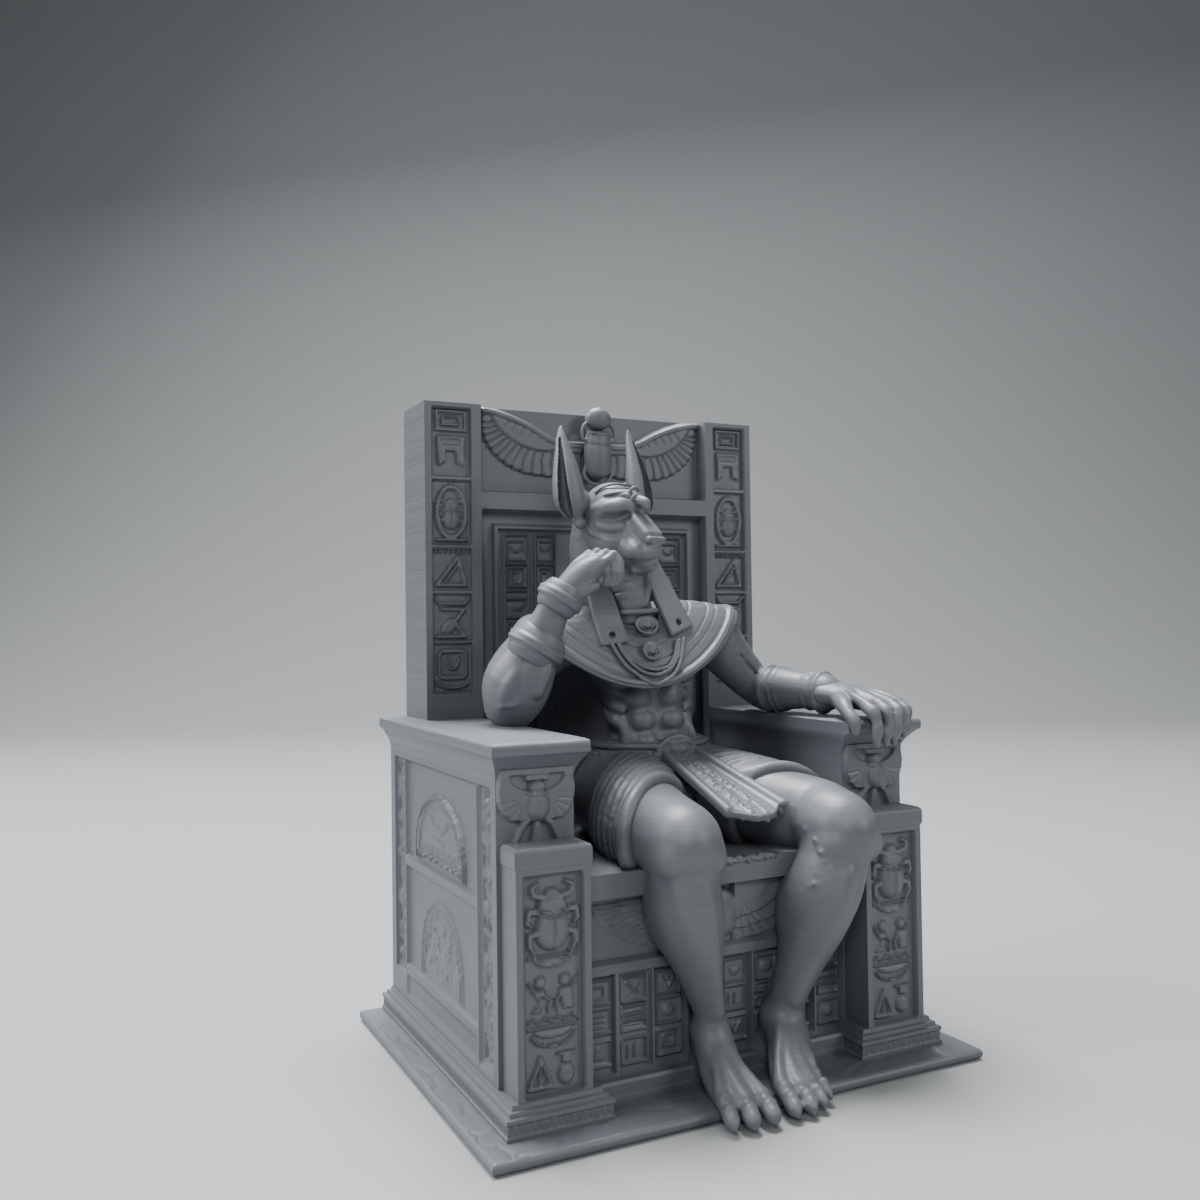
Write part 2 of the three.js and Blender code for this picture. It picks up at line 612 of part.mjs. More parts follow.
// Neck ring, the two round pendants and the looped cords under them, all on the collar's face
function necklace() {
  const facing = -Math.PI / 2;
  const parts = [limb([[-3, 0.6, 96.4, 6.3, 6], [-3, 0.6, 98.2, 6.3, 6]], { sides: 12 })];
  parts.push(mass(collarPoint(facing + 0.06, 0.42, 0.2), [2.8, 1.1, 2.6], [20, 0, 0]));
  parts.push(mass(collarPoint(facing + 0.09, 0.72, 0.2), [2.3, 1.1, 2.2], [14, 0, 0]));
  const beads = 6;
  const points = [];
  for (let bead = 0; bead <= beads; bead += 1) {
    const share = bead / beads * 2 - 1;
    const reach = 0.92 - 0.4 * share ** 4;
    points.push([...collarPoint(facing + 0.06 + 0.4 * share, reach, 0.1), 0.8, 0.8]);
  }
  parts.push(limb(points, { across: [0, 1, 0], sides: 4 }));
  return joined(parts);
}

// Right arm: elbow on the arm's top, a bulky folded arm, two bands and the fist at the cheek
function rightArm() {
  const upper = limb([
    [-17, 5.4, 92, 6.8, 6.2], [-23, 6, 89.6, 7.6, 7], [-30, 6, 84.4, 7, 6.6], [-34.6, 3.6, 78.4, 5.4, 5.2],
    [-34.8, 1.6, 75.4, 3.4, 3.2],
  ], { across: [0, 1, 0], sides: 8 });
  const fore = limb([
    [-34.2, 1.4, 73.8, 3.4, 3.2], [-34.2, 0.6, 79.6, 6, 5.6], [-32.6, -2, 85.6, 6.6, 6.1],
    [-31.5, -3.6, 89, 6.6, 6.2], [-30.6, -4.4, 91.2, 5.6, 5.4], [-27, -8, 97.6, 4.1, 4],
    [-26.4, -8.6, 98.6, 5.1, 4.9], [-25.1, -9.8, 101.3, 4.4, 4.2],
  ], { across: [1, 0.5, 0], sides: 8 });
  const hand = limb([
    [-25.4, -9.4, 100.6, 3.2, 3], [-22, -10.6, 104, 4.3, 3.2],
    [-18, -11, 107, 4.6, 3], [-14.6, -10.8, 107.6, 3.9, 2.5],
  ], { across: [0.5, 0.5, -0.7], sides: 8 });
  const fingers = [0, 1, 2, 3].map((finger) => limb([
    [-16.6 - finger * 0.2, -8.4 - finger * 1.9, 108.6 - finger * 0.9, 1.4, 1.4],
    [-12.6 - finger * 0.2, -9.4 - finger * 1.9, 106.6 - finger * 1.2, 1.4, 1.4],
    [-15 - finger * 0.2, -10.2 - finger * 1.4, 103 - finger * 0.3, 1.2, 1.2],
  ], { across: [0, 1, 0], sides: 4 }));
  return joined([upper, fore, hand, mass([-14.6, -10.8, 105.2], [2.4, 2.6, 2.4]), ...fingers]);
}

// Left arm: laid along the arm's top in a long bracer, with the fingers over its front edge
function leftArm() {
  const upper = limb([
    [14, 4.6, 93, 7, 6.4], [19.6, 4, 90.4, 6.8, 6.4], [25, 3.6, 85, 5.4, 5.4], [29.6, 3.4, 80.4, 4.6, 4.8],
    [32.4, 3.4, 77.8, 3.6, 3.8],
  ], { across: [0, 1, 0], sides: 10 });
  const fore = limb([
    [32.4, 5.4, 77.4, 3.2, 3], [32.4, 1.2, 78, 4.8, 4.8], [32.6, -1.4, 78.1, 5.4, 5.3],
    [33, -3, 78.2, 4.9, 4.9], [33.6, -5.4, 78.3, 5.1, 5.1], [35.8, -13.4, 78, 4, 4.1], [36.6, -16.6, 77.8, 4.5, 4.4],
    [37.2, -18.6, 77.7, 3.2, 3.2], [38.2, -23, 77.1, 3.2, 2.6],
  ], { across: [1, 0.3, 0], sides: 9 });
  const palm = limb([
    [37.6, -21, 77.2, 3.4, 2.6], [38.6, -26, 76.8, 4.6, 2.6], [39.6, -30.6, 75.8, 4.6, 2.2],
  ], { across: [1, 0.3, 0], sides: 8 });
  const fingers = [0, 1, 2, 3].map((finger) => limb([
    [36 + finger * 2.3, -28, 76.4, 1.4, 1.3], [36.4 + finger * 2.6, -33.2, 75.8, 1.3, 1.3],
    [36.6 + finger * 2.7, -35.6, 72, 1.15, 1.15],
    [36.8 + finger * 2.7, -35.4, 67.4 + finger * 0.9, 0.8, 0.9],
  ], { sides: 4 }));
  const thumb = limb([
    [36, -24.6, 76.4, 1.8, 1.7], [33.2, -30, 76, 1.5, 1.5],
    [32.2, -33.4, 73, 1.3, 1.3], [31.8, -34, 70, 0.9, 0.9],
  ], { sides: 4 });
  return joined([upper, fore, palm, ...fingers, thumb]);
}

function middle(from, to) {
  return from.map((value, axis) => (value + to[axis]) / 2);
}

// Legs: a thigh on the seat, a round knee, a full calf, a slim ankle and a clawed foot
const legs = {
  right: {
    hip: [-4.5, 4, 55.4], mid: [-10, -16, 54.2], knee: [-12.6, -35.4, 51.4], calf: [-12, -35.6, 38],
    shin: [-8.6, -34, 26], ankle: [-5.2, -31.8, 15], heel: [-4, -28.6, 6.4], toe: [-5.6, -50.2, 3],
    spread: 2.9, toes: 4,
  },
  left: {
    hip: [12, 4, 55.4], mid: [19.6, -15, 54.2], knee: [26.4, -35, 50.6], calf: [22.4, -35, 37.4],
    shin: [16.4, -34, 26], ankle: [12, -31.6, 15.6], heel: [10.6, -28, 7], toe: [7, -49.4, 3],
    spread: 2.7, toes: 4,
  },
};

function leg({ mid, knee, calf, shin, ankle, heel, toe, spread, toes }) {
  const thigh = limb([
    [...mid, 11, 9.9], [knee[0] + 0.4, knee[1] + 6, knee[2] + 1.2, 9.9, 9.6],
    [knee[0], knee[1], knee[2] + 0.6, 8.9, 8.8], [knee[0], knee[1] - 6, knee[2] - 0.6, 6.4, 6.6],
    [knee[0], knee[1] - 8.6, knee[2] - 1, 2.8, 3],
  ], { sides: 12 });
  const lower = limb([
    [knee[0], knee[1] + 1, knee[2] + 3, 8, 8],
    [knee[0] * 0.7 + calf[0] * 0.3, knee[1], knee[2] - 5.6, 8.5, 8.6],
    [...calf, 8.8, 8.6], [...middle(calf, shin), 7.2, 7.2],
    [...shin, 5.4, 5.6], [...ankle, 4.4, 4.8], [heel[0], heel[1] - 0.6, 2, 4, 4.8],
  ], { sides: 10 });
  const instep = limb([
    [ankle[0], ankle[1] + 1, ankle[2] - 1, 4, 3.6], [heel[0] * 0.6 + toe[0] * 0.4, -36, 10.4, 4.8, 4.4],
    [heel[0] * 0.3 + toe[0] * 0.7, -42, 6.6, 5.8, 3.8], [toe[0], toe[1] + 3.6, 4, 6, 2.6],
  ], { sides: 8 });
  const parts = [thigh, lower, instep];
  for (let claw = 0; claw < toes; claw += 1) {
    const lane = (claw - (toes - 1) / 2) * spread;
    const bend = 0.8 * Math.abs(claw - (toes - 1) / 2);
    parts.push(limb([
      [toe[0] + lane * 0.8, -42.6, 4.8, 1.8, 2.2], [toe[0] + lane, -47 + bend, 5, 2.1, 2.3],
      [toe[0] + lane, toe[1] - 1.8 + bend, 1.5, 1, 1.1],
    ], { sides: 4 }));
  }
  return joined(parts);
}

// The kilt: a pleated wrap round the hips and over each thigh, ending in a rolled hem
function kilt() {
  const parts = [limb([
    [4, 6.6, 46, 17, 11.8], [3.8, 6.2, 54, 18.8, 12.2], [3.4, 5.6, 61, 16.6, 11], [3, 5, 66, 13.8, 9.4],
  ], { sides: 16, pleats: 0.018 })];
  for (const { hip, mid } of [legs.right, legs.left]) {
    const hem = [mid[0] + (mid[0] - hip[0]) * 0.1, mid[1] - 3.6, mid[2] - 0.3];
    parts.push(limb([
      [...hip, 12.8, 11], [...mid, 12.4, 10.7],
      [hem[0], hem[1] + 1.8, hem[2], 13.4, 11.6], [...hem, 12.2, 10.5],
    ], { sides: 16, pleats: 0.012 }));
  }
  return joined(parts);
}

// The belt with its ring buckle, and the stiff apron plank with raised borders
function beltAndApron() {
  const belt = limb([
    [waist.x, waist.y, 62, 14.2, 9.8], [waist.x, waist.y, 63, 15, 10.4],
    [waist.x, waist.y, 66.6, 14.5, 10.1], [waist.x, waist.y, 67.4, 13.6, 9.4],
  ], { sides: 14 });
  const buckle = mass([4.4, -4.6, 66.4], [3.7, 1.7, 3.8], [14, 0, 0]);
  const root = [5.4, -3, 64];
  const end = [8.2, -30.6, 54.8];
  const plank = slab(root, end, [5.8, 7.6], 1.8, [1, 0, 0]);
  const tip = slab(end, [9.4, -33.6, 52.8], [7.6, 1.2], 1.8, [1, 0, 0]);
  const borders = [-1, 1].map((side) => slab(
    [root[0] + side * 4.8, root[1], root[2] + 0.8], [end[0] + side * 6.3, end[1], end[2] + 0.8],
    [0.9, 1.2], 1.4, [1, 0, 0],
  ));
  return joined([belt, buckle, plank, tip, ...borders]);
}

// The throne
const throne = joined([
  plinthPlate(),
  ...[-1, 1].map((side) => steppedFoot(...sideRange(side, step.inner, step.outer), step.postFront)),
  block([-step.inner - 1, step.inner + 1], [step.seatFront, step.back - 2], [plinth.top - 0.5, step.top]),
  ...[-1, 1].map((side) => armBlock(side)),
  ...[-1, 1].flatMap((side) => [...sideRelief(side), armBeetle(side), ...postSigns(side)]),
  seatBlock(),
  backSlab(),
]);

// The figure
const figure = joined([
  trunk(), collar(), jackalHead(), headCloth(), necklace(), rightArm(), leftArm(),
  leg(legs.right), leg(legs.left), kilt(), beltAndApron(),
]);

const whole = throne.add(figure);
const faces = whole.getMesh();
const shape = new THREE.BufferGeometry();
shape.setAttribute('position', new THREE.BufferAttribute(new Float32Array(faces.vertProperties), 3));
shape.setIndex(new THREE.BufferAttribute(new Uint32Array(faces.triVerts), 1));
shape.computeVertexNormals();

const greyPlastic = new THREE.MeshStandardMaterial({ color: 0x7d8187, roughness: 0.55, metalness: 0 });
const figurine = new THREE.Mesh(shape, greyPlastic);
figurine.name = 'throned_jackal_figurine';

const model = new THREE.Group();
model.name = 'enthroned_jackal_figurine';
model.add(figurine);

export default model;
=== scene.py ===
"""Studio scene of a printed, jackal-headed figure on a carved throne.

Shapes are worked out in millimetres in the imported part's own frame: +Z up, the front faces -Y and the
origin is the middle of the plinth's underside. Mesh data is stored in metres.
"""
import logging
import math
from dataclasses import dataclass, field
from enum import Enum
from typing import Callable, Sequence

import bpy
import numpy as np
import openvdb
from mathutils import Matrix, Vector


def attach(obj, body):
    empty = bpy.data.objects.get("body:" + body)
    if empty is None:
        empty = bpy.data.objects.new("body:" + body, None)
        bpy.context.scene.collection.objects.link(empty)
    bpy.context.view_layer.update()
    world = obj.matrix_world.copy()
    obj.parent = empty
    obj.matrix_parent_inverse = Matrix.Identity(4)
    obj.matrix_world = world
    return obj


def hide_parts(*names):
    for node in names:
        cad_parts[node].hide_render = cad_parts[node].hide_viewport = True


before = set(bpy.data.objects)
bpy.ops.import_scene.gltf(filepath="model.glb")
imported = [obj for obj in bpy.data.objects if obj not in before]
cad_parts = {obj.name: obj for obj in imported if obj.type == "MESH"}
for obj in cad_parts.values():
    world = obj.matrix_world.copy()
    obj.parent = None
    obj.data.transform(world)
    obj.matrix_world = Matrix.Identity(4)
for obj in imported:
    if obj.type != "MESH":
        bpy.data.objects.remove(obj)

LOG = logging.getLogger("figurine")
NODE = "throned_jackal_figurine"
MM = 0.001
FAR = 9.0  # millimetres that count as far away
BAND = 3  # voxels kept on each side of a surface

Array = np.ndarray
Point = Sequence[float]


# Small numeric helpers

def unit(vector: Point) -> Array:
    """A vector of length one.

    Args:
        vector: any vector that isn't zero.
    Returns:
        The same direction with length one.
    """
    made = np.asarray(vector, float)
    return made / np.linalg.norm(made)


def ramp(value: Array, low: float, high: float) -> Array:
    """A smooth step from 0 at low to 1 at high: t * t * (3 - 2 t)."""
    t = np.clip((value - low) / (high - low), 0.0, 1.0)
    return t * t * (3.0 - 2.0 * t)


def curve(stations: Sequence[Point], steps: int) -> Array:
    """A Catmull-Rom curve through rows of numbers.

    Args:
        stations: rows with any number of columns.
        steps: how many points each span gets.
    Returns:
        Rows on the curve, the first and last stations included.
    """
    rows = np.asarray(stations, float)
    if len(rows) == 2:
        t = np.linspace(0, 1, steps + 1)[:, None]
        return rows[0] * (1 - t) + rows[1] * t
    ends = np.vstack([2 * rows[0] - rows[1], rows, 2 * rows[-1] - rows[-2]])
    made = []
    for i in range(len(rows) - 1):
        a, b, c, d = ends[i:i + 4]
        t = np.linspace(0, 1, steps, endpoint=False)[:, None]
        made.append(0.5 * (2 * b + (c - a) * t + (2 * a - 5 * b + 4 * c - d) * t ** 2
                           + (3 * b - a - 3 * c + d) * t ** 3))
    made.append(rows[-1:])
    return np.vstack(made)


def noise(points: Array, size: float, seed: int) -> Array:
    """Smooth lattice noise from -1 to 1: random lattice values blended by smooth steps.

    Args:
        points: rows of coordinates in millimetres.
        size: edge of a lattice cell.
        seed: picks the lattice.
    Returns:
        One value a row.
    """
    table = np.random.default_rng(seed).uniform(-1, 1, 4096)
    cells = points / size
    base = np.floor(cells).astype(np.int64)
    t = cells - base
    t = t * t * (3 - 2 * t)
    total = np.zeros(len(points))
    for corner in range(2 ** points.shape[1]):
        weight = np.ones(len(points))
        key = np.zeros(len(points), np.int64)
        for axis in range(points.shape[1]):
            bit = corner >> axis & 1
            weight *= t[:, axis] if bit else 1 - t[:, axis]
            key = key * 7919 + (base[:, axis] + bit) * (axis * 2 + 1) * 104729
        total += weight * table[(key ^ key >> 7) % 4096]
    return total


# Flat shapes: signed distances in the plane of a face

FlatShape = Callable[[Array, Array], Array]


@dataclass(frozen=True)
class Stamp:
    """A flat shape with the box that holds it.

    Args:
        distance: the signed distance at u and v, negative inside.
        box: lowest u, highest u, lowest v and highest v.
    """
    distance: FlatShape
    box: tuple[float, float, float, float]


def disc(u: float, v: float, ru: float, rv: float | None = None, turn: float = 0.0) -> Stamp:
    """An ellipse: k (k - 1) / |gradient|, with k the scaled radius."""
    rv = ru if rv is None else rv
    c, s = math.cos(math.radians(turn)), math.sin(math.radians(turn))
    reach = max(ru, rv)

    def distance(x: Array, y: Array) -> Array:
        """Signed distance in the plane of the face."""
        a = (x - u) * c + (y - v) * s
        b = -(x - u) * s + (y - v) * c
        k0 = np.hypot(a / ru, b / rv)
        k1 = np.hypot(a / ru ** 2, b / rv ** 2)
        return k0 * (k0 - 1) / np.maximum(k1, 1e-6)
    return Stamp(distance, (u - reach, u + reach, v - reach, v + reach))


def ring(u: float, v: float, ru: float, rv: float, half: float) -> Stamp:
    """The band within half of an ellipse's outline."""
    inner = disc(u, v, ru, rv)
    return Stamp(lambda x, y: np.abs(inner.distance(x, y)) - half,
                 (u - ru - half, u + ru + half, v - rv - half, v + rv + half))


def stroke(points: Sequence[Point], half: float, end: float | None = None) -> Stamp:
    """A stroke along a polyline, tapering from half to end in half-width."""
    rows = np.asarray(points, float)
    end = half if end is None else end
    widths = np.linspace(half, end, len(rows))

    def distance(x: Array, y: Array) -> Array:
        """Signed distance in the plane of the face."""
        best = np.full(np.broadcast(x, y).shape, FAR)
        for i in range(len(rows) - 1):
            a, d = rows[i], rows[i + 1] - rows[i]
            t = np.clip(((x - a[0]) * d[0] + (y - a[1]) * d[1]) / max(d @ d, 1e-9), 0, 1)
            reach = np.hypot(x - a[0] - t * d[0], y - a[1] - t * d[1])
            best = np.minimum(best, reach - widths[i] - t * (widths[i + 1] - widths[i]))
        return best
    low, high = rows.min(0) - max(half, end), rows.max(0) + max(half, end)
    return Stamp(distance, (low[0], high[0], low[1], high[1]))


def swing(u: float, v: float, radius: float, start: float, stop: float, half: float,
          squash: float = 1.0) -> Stamp:
    """A stroke along an arc, from one angle in degrees to another."""
    turns = np.radians(np.linspace(start, stop, 15))
    return stroke(np.stack([u + radius * np.cos(turns), v + radius * squash * np.sin(turns)], 1), half)


def slab(u0: float, u1: float, v0: float, v1: float, corner: float = 0.0) -> Stamp:
    """An upright rectangle with round corners."""
    cu, cv, hu, hv = (u0 + u1) / 2, (v0 + v1) / 2, (u1 - u0) / 2 - corner, (v1 - v0) / 2 - corner

    def distance(x: Array, y: Array) -> Array:
        """Signed distance in the plane of the face."""
        a, b = np.abs(x - cu) - hu, np.abs(y - cv) - hv
        return np.hypot(np.maximum(a, 0), np.maximum(b, 0)) + np.minimum(np.maximum(a, b), 0) - corner
    return Stamp(distance, (u0, u1, v0, v1))


def frame_of(u0: float, u1: float, v0: float, v1: float, half: float, corner: float = 0.0) -> Stamp:
    """The band within half of a rectangle's outline."""
    inner = slab(u0, u1, v0, v1, corner)
    return Stamp(lambda x, y: np.abs(inner.distance(x, y)) - half,
                 (u0 - half, u1 + half, v0 - half, v1 + half))


def outline(points: Sequence[Point]) -> Stamp:
    """A filled polygon: the nearest edge, signed by the crossing count."""
    rows = np.asarray(points, float)

    def distance(x: Array, y: Array) -> Array:
        """Signed distance in the plane of the face."""
        shape = np.broadcast(x, y).shape
        best, inside = np.full(shape, FAR), np.zeros(shape, bool)
        for i in range(len(rows)):
            a, b = rows[i], rows[(i + 1) % len(rows)]
            d = b - a
            t = np.clip(((x - a[0]) * d[0] + (y - a[1]) * d[1]) / max(d @ d, 1e-9), 0, 1)
            best = np.minimum(best, np.hypot(x - a[0] - t * d[0], y - a[1] - t * d[1]))
            if a[1] != b[1]:
                crosses = (a[1] > y) != (b[1] > y)
                inside ^= crosses & (x < (b[0] - a[0]) * (y - a[1]) / (b[1] - a[1]) + a[0])
        return np.where(inside, -best, best)
    low, high = rows.min(0), rows.max(0)
    return Stamp(distance, (low[0], high[0], low[1], high[1]))


def bowl(u: float, top: float, half: float, drop: float) -> Stamp:
    """A half-moon that hangs under a level line."""
    turns = np.radians(np.linspace(180, 360, 13))
    return outline(np.stack([u + half * np.cos(turns), top + drop * np.sin(turns)], 1))


@dataclass
class Relief:
    """Heights over a face: a grid of u by v that stamps raise and sink.

    Args:
        u: grid lines across, rising.
        v: grid lines up, rising.
    """
    u: Array
    v: Array
    h: Array = field(init=False)

    def __post_init__(self) -> None:
        """Starts flat."""
        self.h = np.zeros((len(self.v), len(self.u)))

    def part(self, box: tuple[float, float, float, float], margin: float) -> tuple[tuple, Array, Array]:
        """The slice of the grid that a box and its margin cover, with its lines."""
        i0, i1 = np.searchsorted(self.u, [box[0] - margin, box[1] + margin])
        j0, j1 = np.searchsorted(self.v, [box[2] - margin, box[3] + margin])
        return (slice(j0, j1), slice(i0, i1)), self.u[None, i0:i1], self.v[j0:j1, None]

    def raised(self, stamp: Stamp, height: float, bevel: float = 0.35, base: float | None = None) -> None:
        """Lifts a plateau with a bevelled edge over a base, or over what is there."""
        where, u, v = self.part(stamp.box, bevel)
        lift = height * ramp(-stamp.distance(u, v), -bevel / 2, bevel / 2)
        if base is None:
            self.h[where] += lift
        else:
            self.h[where] = np.maximum(self.h[where], np.where(lift > 0, base + lift, -FAR))

    def sunk(self, stamp: Stamp, depth: float, bevel: float = 0.35) -> None:
        """Presses the stamp in by depth."""
        self.raised(stamp, -depth, bevel)

    def domed(self, stamp: Stamp, height: float, edge: float, base: float) -> None:
        """Lifts a cushion that reaches its height at edge inside the outline."""
        where, u, v = self.part(stamp.box, 0.1)
        t = np.clip(-stamp.distance(u, v) / edge, 0, 1)
        lift = height * np.sqrt(np.clip(1 - (1 - t) ** 2, 0, 1))
        self.h[where] = np.where(t > 0, np.maximum(self.h[where], base + lift), self.h[where])

    def grooved(self, stamp: Stamp, depth: float, soft: float = 0.3) -> None:
        """Scratches a soft groove where the stamp is."""
        where, u, v = self.part(stamp.box, soft)
        self.h[where] -= depth * ramp(-stamp.distance(u, v), -soft, 0.05)

    def rubbed(self, box: tuple[float, float, float, float], size: float, depth: float, seed: int) -> None:
        """Roughens a box with lattice noise."""
        where, u, v = self.part(box, 0)
        uu, vv = np.broadcast_arrays(u, v)
        flat = np.stack([uu.ravel(), vv.ravel()], 1)
        self.h[where] += depth * noise(flat, size, seed).reshape(uu.shape)


# Meshes

@dataclass(frozen=True)
class Plastic:
    """The finish of the print: its colour, how strong its layer lines are and how it scatters light."""
    name: str = "grey_pla"
    base: tuple[float, float, float] = (0.112, 0.121, 0.137)
    pitch: float = 0.42
    layer_depth: float = 0.009
    layer_tone: float = 0.07
    grain: float = 0.35
    roughness: float = 0.46


def facets_to_mesh(name: str, points: Array, quads: Array, tris: Array | None = None,
                   caps: Sequence[Array] = ()) -> bpy.types.Mesh:
    """A mesh from whole arrays.

    Args:
        name: mesh name.
        points: rows of millimetres.
        quads: rows of four vertex numbers.
        tris: rows of three vertex numbers.
        caps: vertex numbers of larger faces.
    Returns:
        The mesh, in metres.
    """
    mesh = bpy.data.meshes.new(name)
    mesh.vertices.add(len(points))
    mesh.vertices.foreach_set("co", (points * MM).astype(np.float32).ravel())
    groups = [np.asarray(quads, np.int32).reshape(-1, 4)]
    if tris is not None and len(tris):
        groups.append(np.asarray(tris, np.int32).reshape(-1, 3))
    groups += [np.asarray(cap, np.int32).reshape(1, -1) for cap in caps]
    corners = np.concatenate([g.ravel() for g in groups])
    sizes = np.concatenate([np.full(len(g), g.shape[1], np.int32) for g in groups])
    mesh.loops.add(len(corners))
    mesh.loops.foreach_set("vertex_index", corners)
    mesh.polygons.add(len(sizes))
    mesh.polygons.foreach_set("loop_start", np.concatenate([[0], np.cumsum(sizes)[:-1]]).astype(np.int32))
    mesh.update(calc_edges=True)
    mesh.validate()
    return mesh


@dataclass
class Workshop:
    """Places finished meshes in the scene and dresses them."""
    material: bpy.types.Material

    def place(self, name: str, mesh: bpy.types.Mesh, crease: float | None = None) -> bpy.types.Object:
        """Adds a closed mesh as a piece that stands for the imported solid.

        Args:
            name: piece name.
            mesh: closed mesh in metres.
            crease: edges sharper than this many degrees stay hard; all smooth if None.
        Returns:
            The piece.
        """
        piece = bpy.data.objects.new(name, mesh)
        bpy.context.scene.collection.objects.link(piece)
        mesh.polygons.foreach_set("use_smooth", np.ones(len(mesh.polygons), bool))
        if crease is not None:
            mesh.set_sharp_from_angle(angle=math.radians(crease))
        mesh.materials.append(self.material)
        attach(piece, "root")
        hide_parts(NODE)
        LOG.info("%s: %d faces", name, len(mesh.polygons))
        return piece


def grid_quads(rows: int, columns: int) -> Array:
    """Vertex numbers of the quads of a grid whose vertices run along columns first."""
    j, i = np.mgrid[0:rows - 1, 0:columns - 1]
    first = (j * columns + i).ravel()
    return np.stack([first, first + 1, first + columns + 1, first + columns], 1)


def relief_block(name: str, relief: Relief, place: Callable[[Array, Array, Array], Array],
                 loops: Sequence[tuple[float, Point]]) -> bpy.types.Mesh:
    """A closed block with a relief on its face: the grid, then loops that step back from its border.

    Args:
        name: mesh name.
        relief: the face.
        place: takes u, v and height to rows of x, y and z, with u, v and outwards right-handed.
        loops: how far each loop lies behind the face, and its lowest u, highest u, lowest v and highest v.
    Returns:
        The mesh.
    """
    rows, columns = relief.h.shape
    uu, vv = np.meshgrid(relief.u, relief.v)
    points = [place(uu.ravel(), vv.ravel(), relief.h.ravel())]
    index = np.arange(rows * columns).reshape(rows, columns)
    border = np.concatenate([index[0, :-1], index[:-1, -1], index[-1, :0:-1], index[:0:-1, 0]])
    share_u = (uu.ravel()[border] - relief.u[0]) / (relief.u[-1] - relief.u[0])
    share_v = (vv.ravel()[border] - relief.v[0]) / (relief.v[-1] - relief.v[0])
    quads = [grid_quads(rows, columns)]
    last, total = border, rows * columns
    for depth, (u0, u1, v0, v1) in loops:
        flat = np.full(len(border), -depth)
        points.append(place(u0 + share_u * (u1 - u0), v0 + share_v * (v1 - v0), flat))
        fresh = total + np.arange(len(border))
        total += len(border)
        quads.append(np.stack([last, fresh, np.roll(fresh, -1), np.roll(last, -1)], 1))
        last = fresh
    return facets_to_mesh(name, np.vstack(points), np.vstack(quads), caps=[last[::-1]])


@dataclass
class Wall:
    """A closed upright block: its four sides are one grid, the perimeter by the height.

    Args:
        x, y: lowest and highest of each.
        levels: rows of z and the outset of that level.
        spacing: grid spacing on the front, right, back and left sides.
    """
    x: tuple[float, float]
    y: tuple[float, float]
    levels: Array
    spacing: tuple[float, float, float, float]

    def __post_init__(self) -> None:
        """Works out the perimeter's points, their outward directions and their sides."""
        (x0, x1), (y0, y1) = self.x, self.y
        corners = np.array([(x0, y0), (x1, y0), (x1, y1), (x0, y1), (x0, y0)], float)
        rows, normals, sides = [], [], []
        for side in range(4):
            a, b = corners[side], corners[side + 1]
            count = max(2, int(round(np.linalg.norm(b - a) / self.spacing[side])))
            t = np.linspace(0, 1, count, endpoint=False)[:, None]
            rows.append(a * (1 - t) + b * t)
            out = np.array([(0, -1), (1, 0), (0, 1), (-1, 0)][side], float)
            before = np.array([(-1, 0), (0, -1), (1, 0), (0, 1)][side], float)
            normals.append(np.vstack([out + before, np.tile(out, (count - 1, 1))]))
            sides.append(np.full(count, side))
        self.base, self.out, self.side = np.vstack(rows), np.vstack(normals), np.concatenate(sides)
        self.reliefs = np.zeros((len(self.levels), len(self.base)))

    def face(self, side: int) -> tuple[Array, Relief]:
        """A relief for one side, drawn against x on the front and back and y on the flanks."""
        index = np.flatnonzero(self.side == side)[1:]
        line = self.base[index, 0 if side % 2 == 0 else 1]
        order = np.argsort(line)
        return index[order], Relief(line[order], self.levels[:, 0])

    def carve(self, index: Array, relief: Relief) -> None:
        """Puts a finished relief back on its side."""
        self.reliefs[:, index] = relief.h

    def mesh(self, name: str) -> bpy.types.Mesh:
        """The closed mesh, with flat caps."""
        centre = np.array([sum(self.x) / 2, sum(self.y) / 2])
        half = np.array([(self.x[1] - self.x[0]) / 2, (self.y[1] - self.y[0]) / 2])
        points = []
        for (z, outset), relief in zip(self.levels, self.reliefs):
            flat = centre + (self.base - centre) * (half + outset) / half + self.out * relief[:, None]
            points.append(np.column_stack([flat, np.full(len(flat), z)]))
        count = len(self.base)
        lines = len(self.levels)
        j, i = np.mgrid[0:lines - 1, 0:count]
        a, b = (j * count + i).ravel(), (j * count + (i + 1) % count).ravel()
        quads = np.stack([a, b, b + count, a + count], 1)
        return facets_to_mesh(name, np.vstack(points), quads,
                              caps=[np.arange(count)[::-1], (lines - 1) * count + np.arange(count)])


def stepped(profile: Sequence[Point], spacing: float) -> Array:
    """Levels along a profile of z and outset, no further apart than spacing, sharp at its corners."""
    made = []
    for (z0, o0), (z1, o1) in zip(profile[:-1], profile[1:]):
        count = max(1, int(math.ceil(math.hypot(z1 - z0, o1 - o0) / spacing)))
        t = np.linspace(0, 1, count, endpoint=False)[:, None]
        made.append((1 - t) * [z0, o0] + t * [z1, o1])
    made.append(np.array([profile[-1]], float))
    return np.vstack(made)


# Solid shapes: signed distances in space

class Form:
    """A solid given by its signed distance."""

    def bounds(self) -> tuple[Array, Array]:
        """Lowest and highest corner."""
        raise NotImplementedError

    def distance(self, x: Array, y: Array, z: Array) -> Array:
        """Signed distance at open grids of coordinates, negative inside."""
        raise NotImplementedError


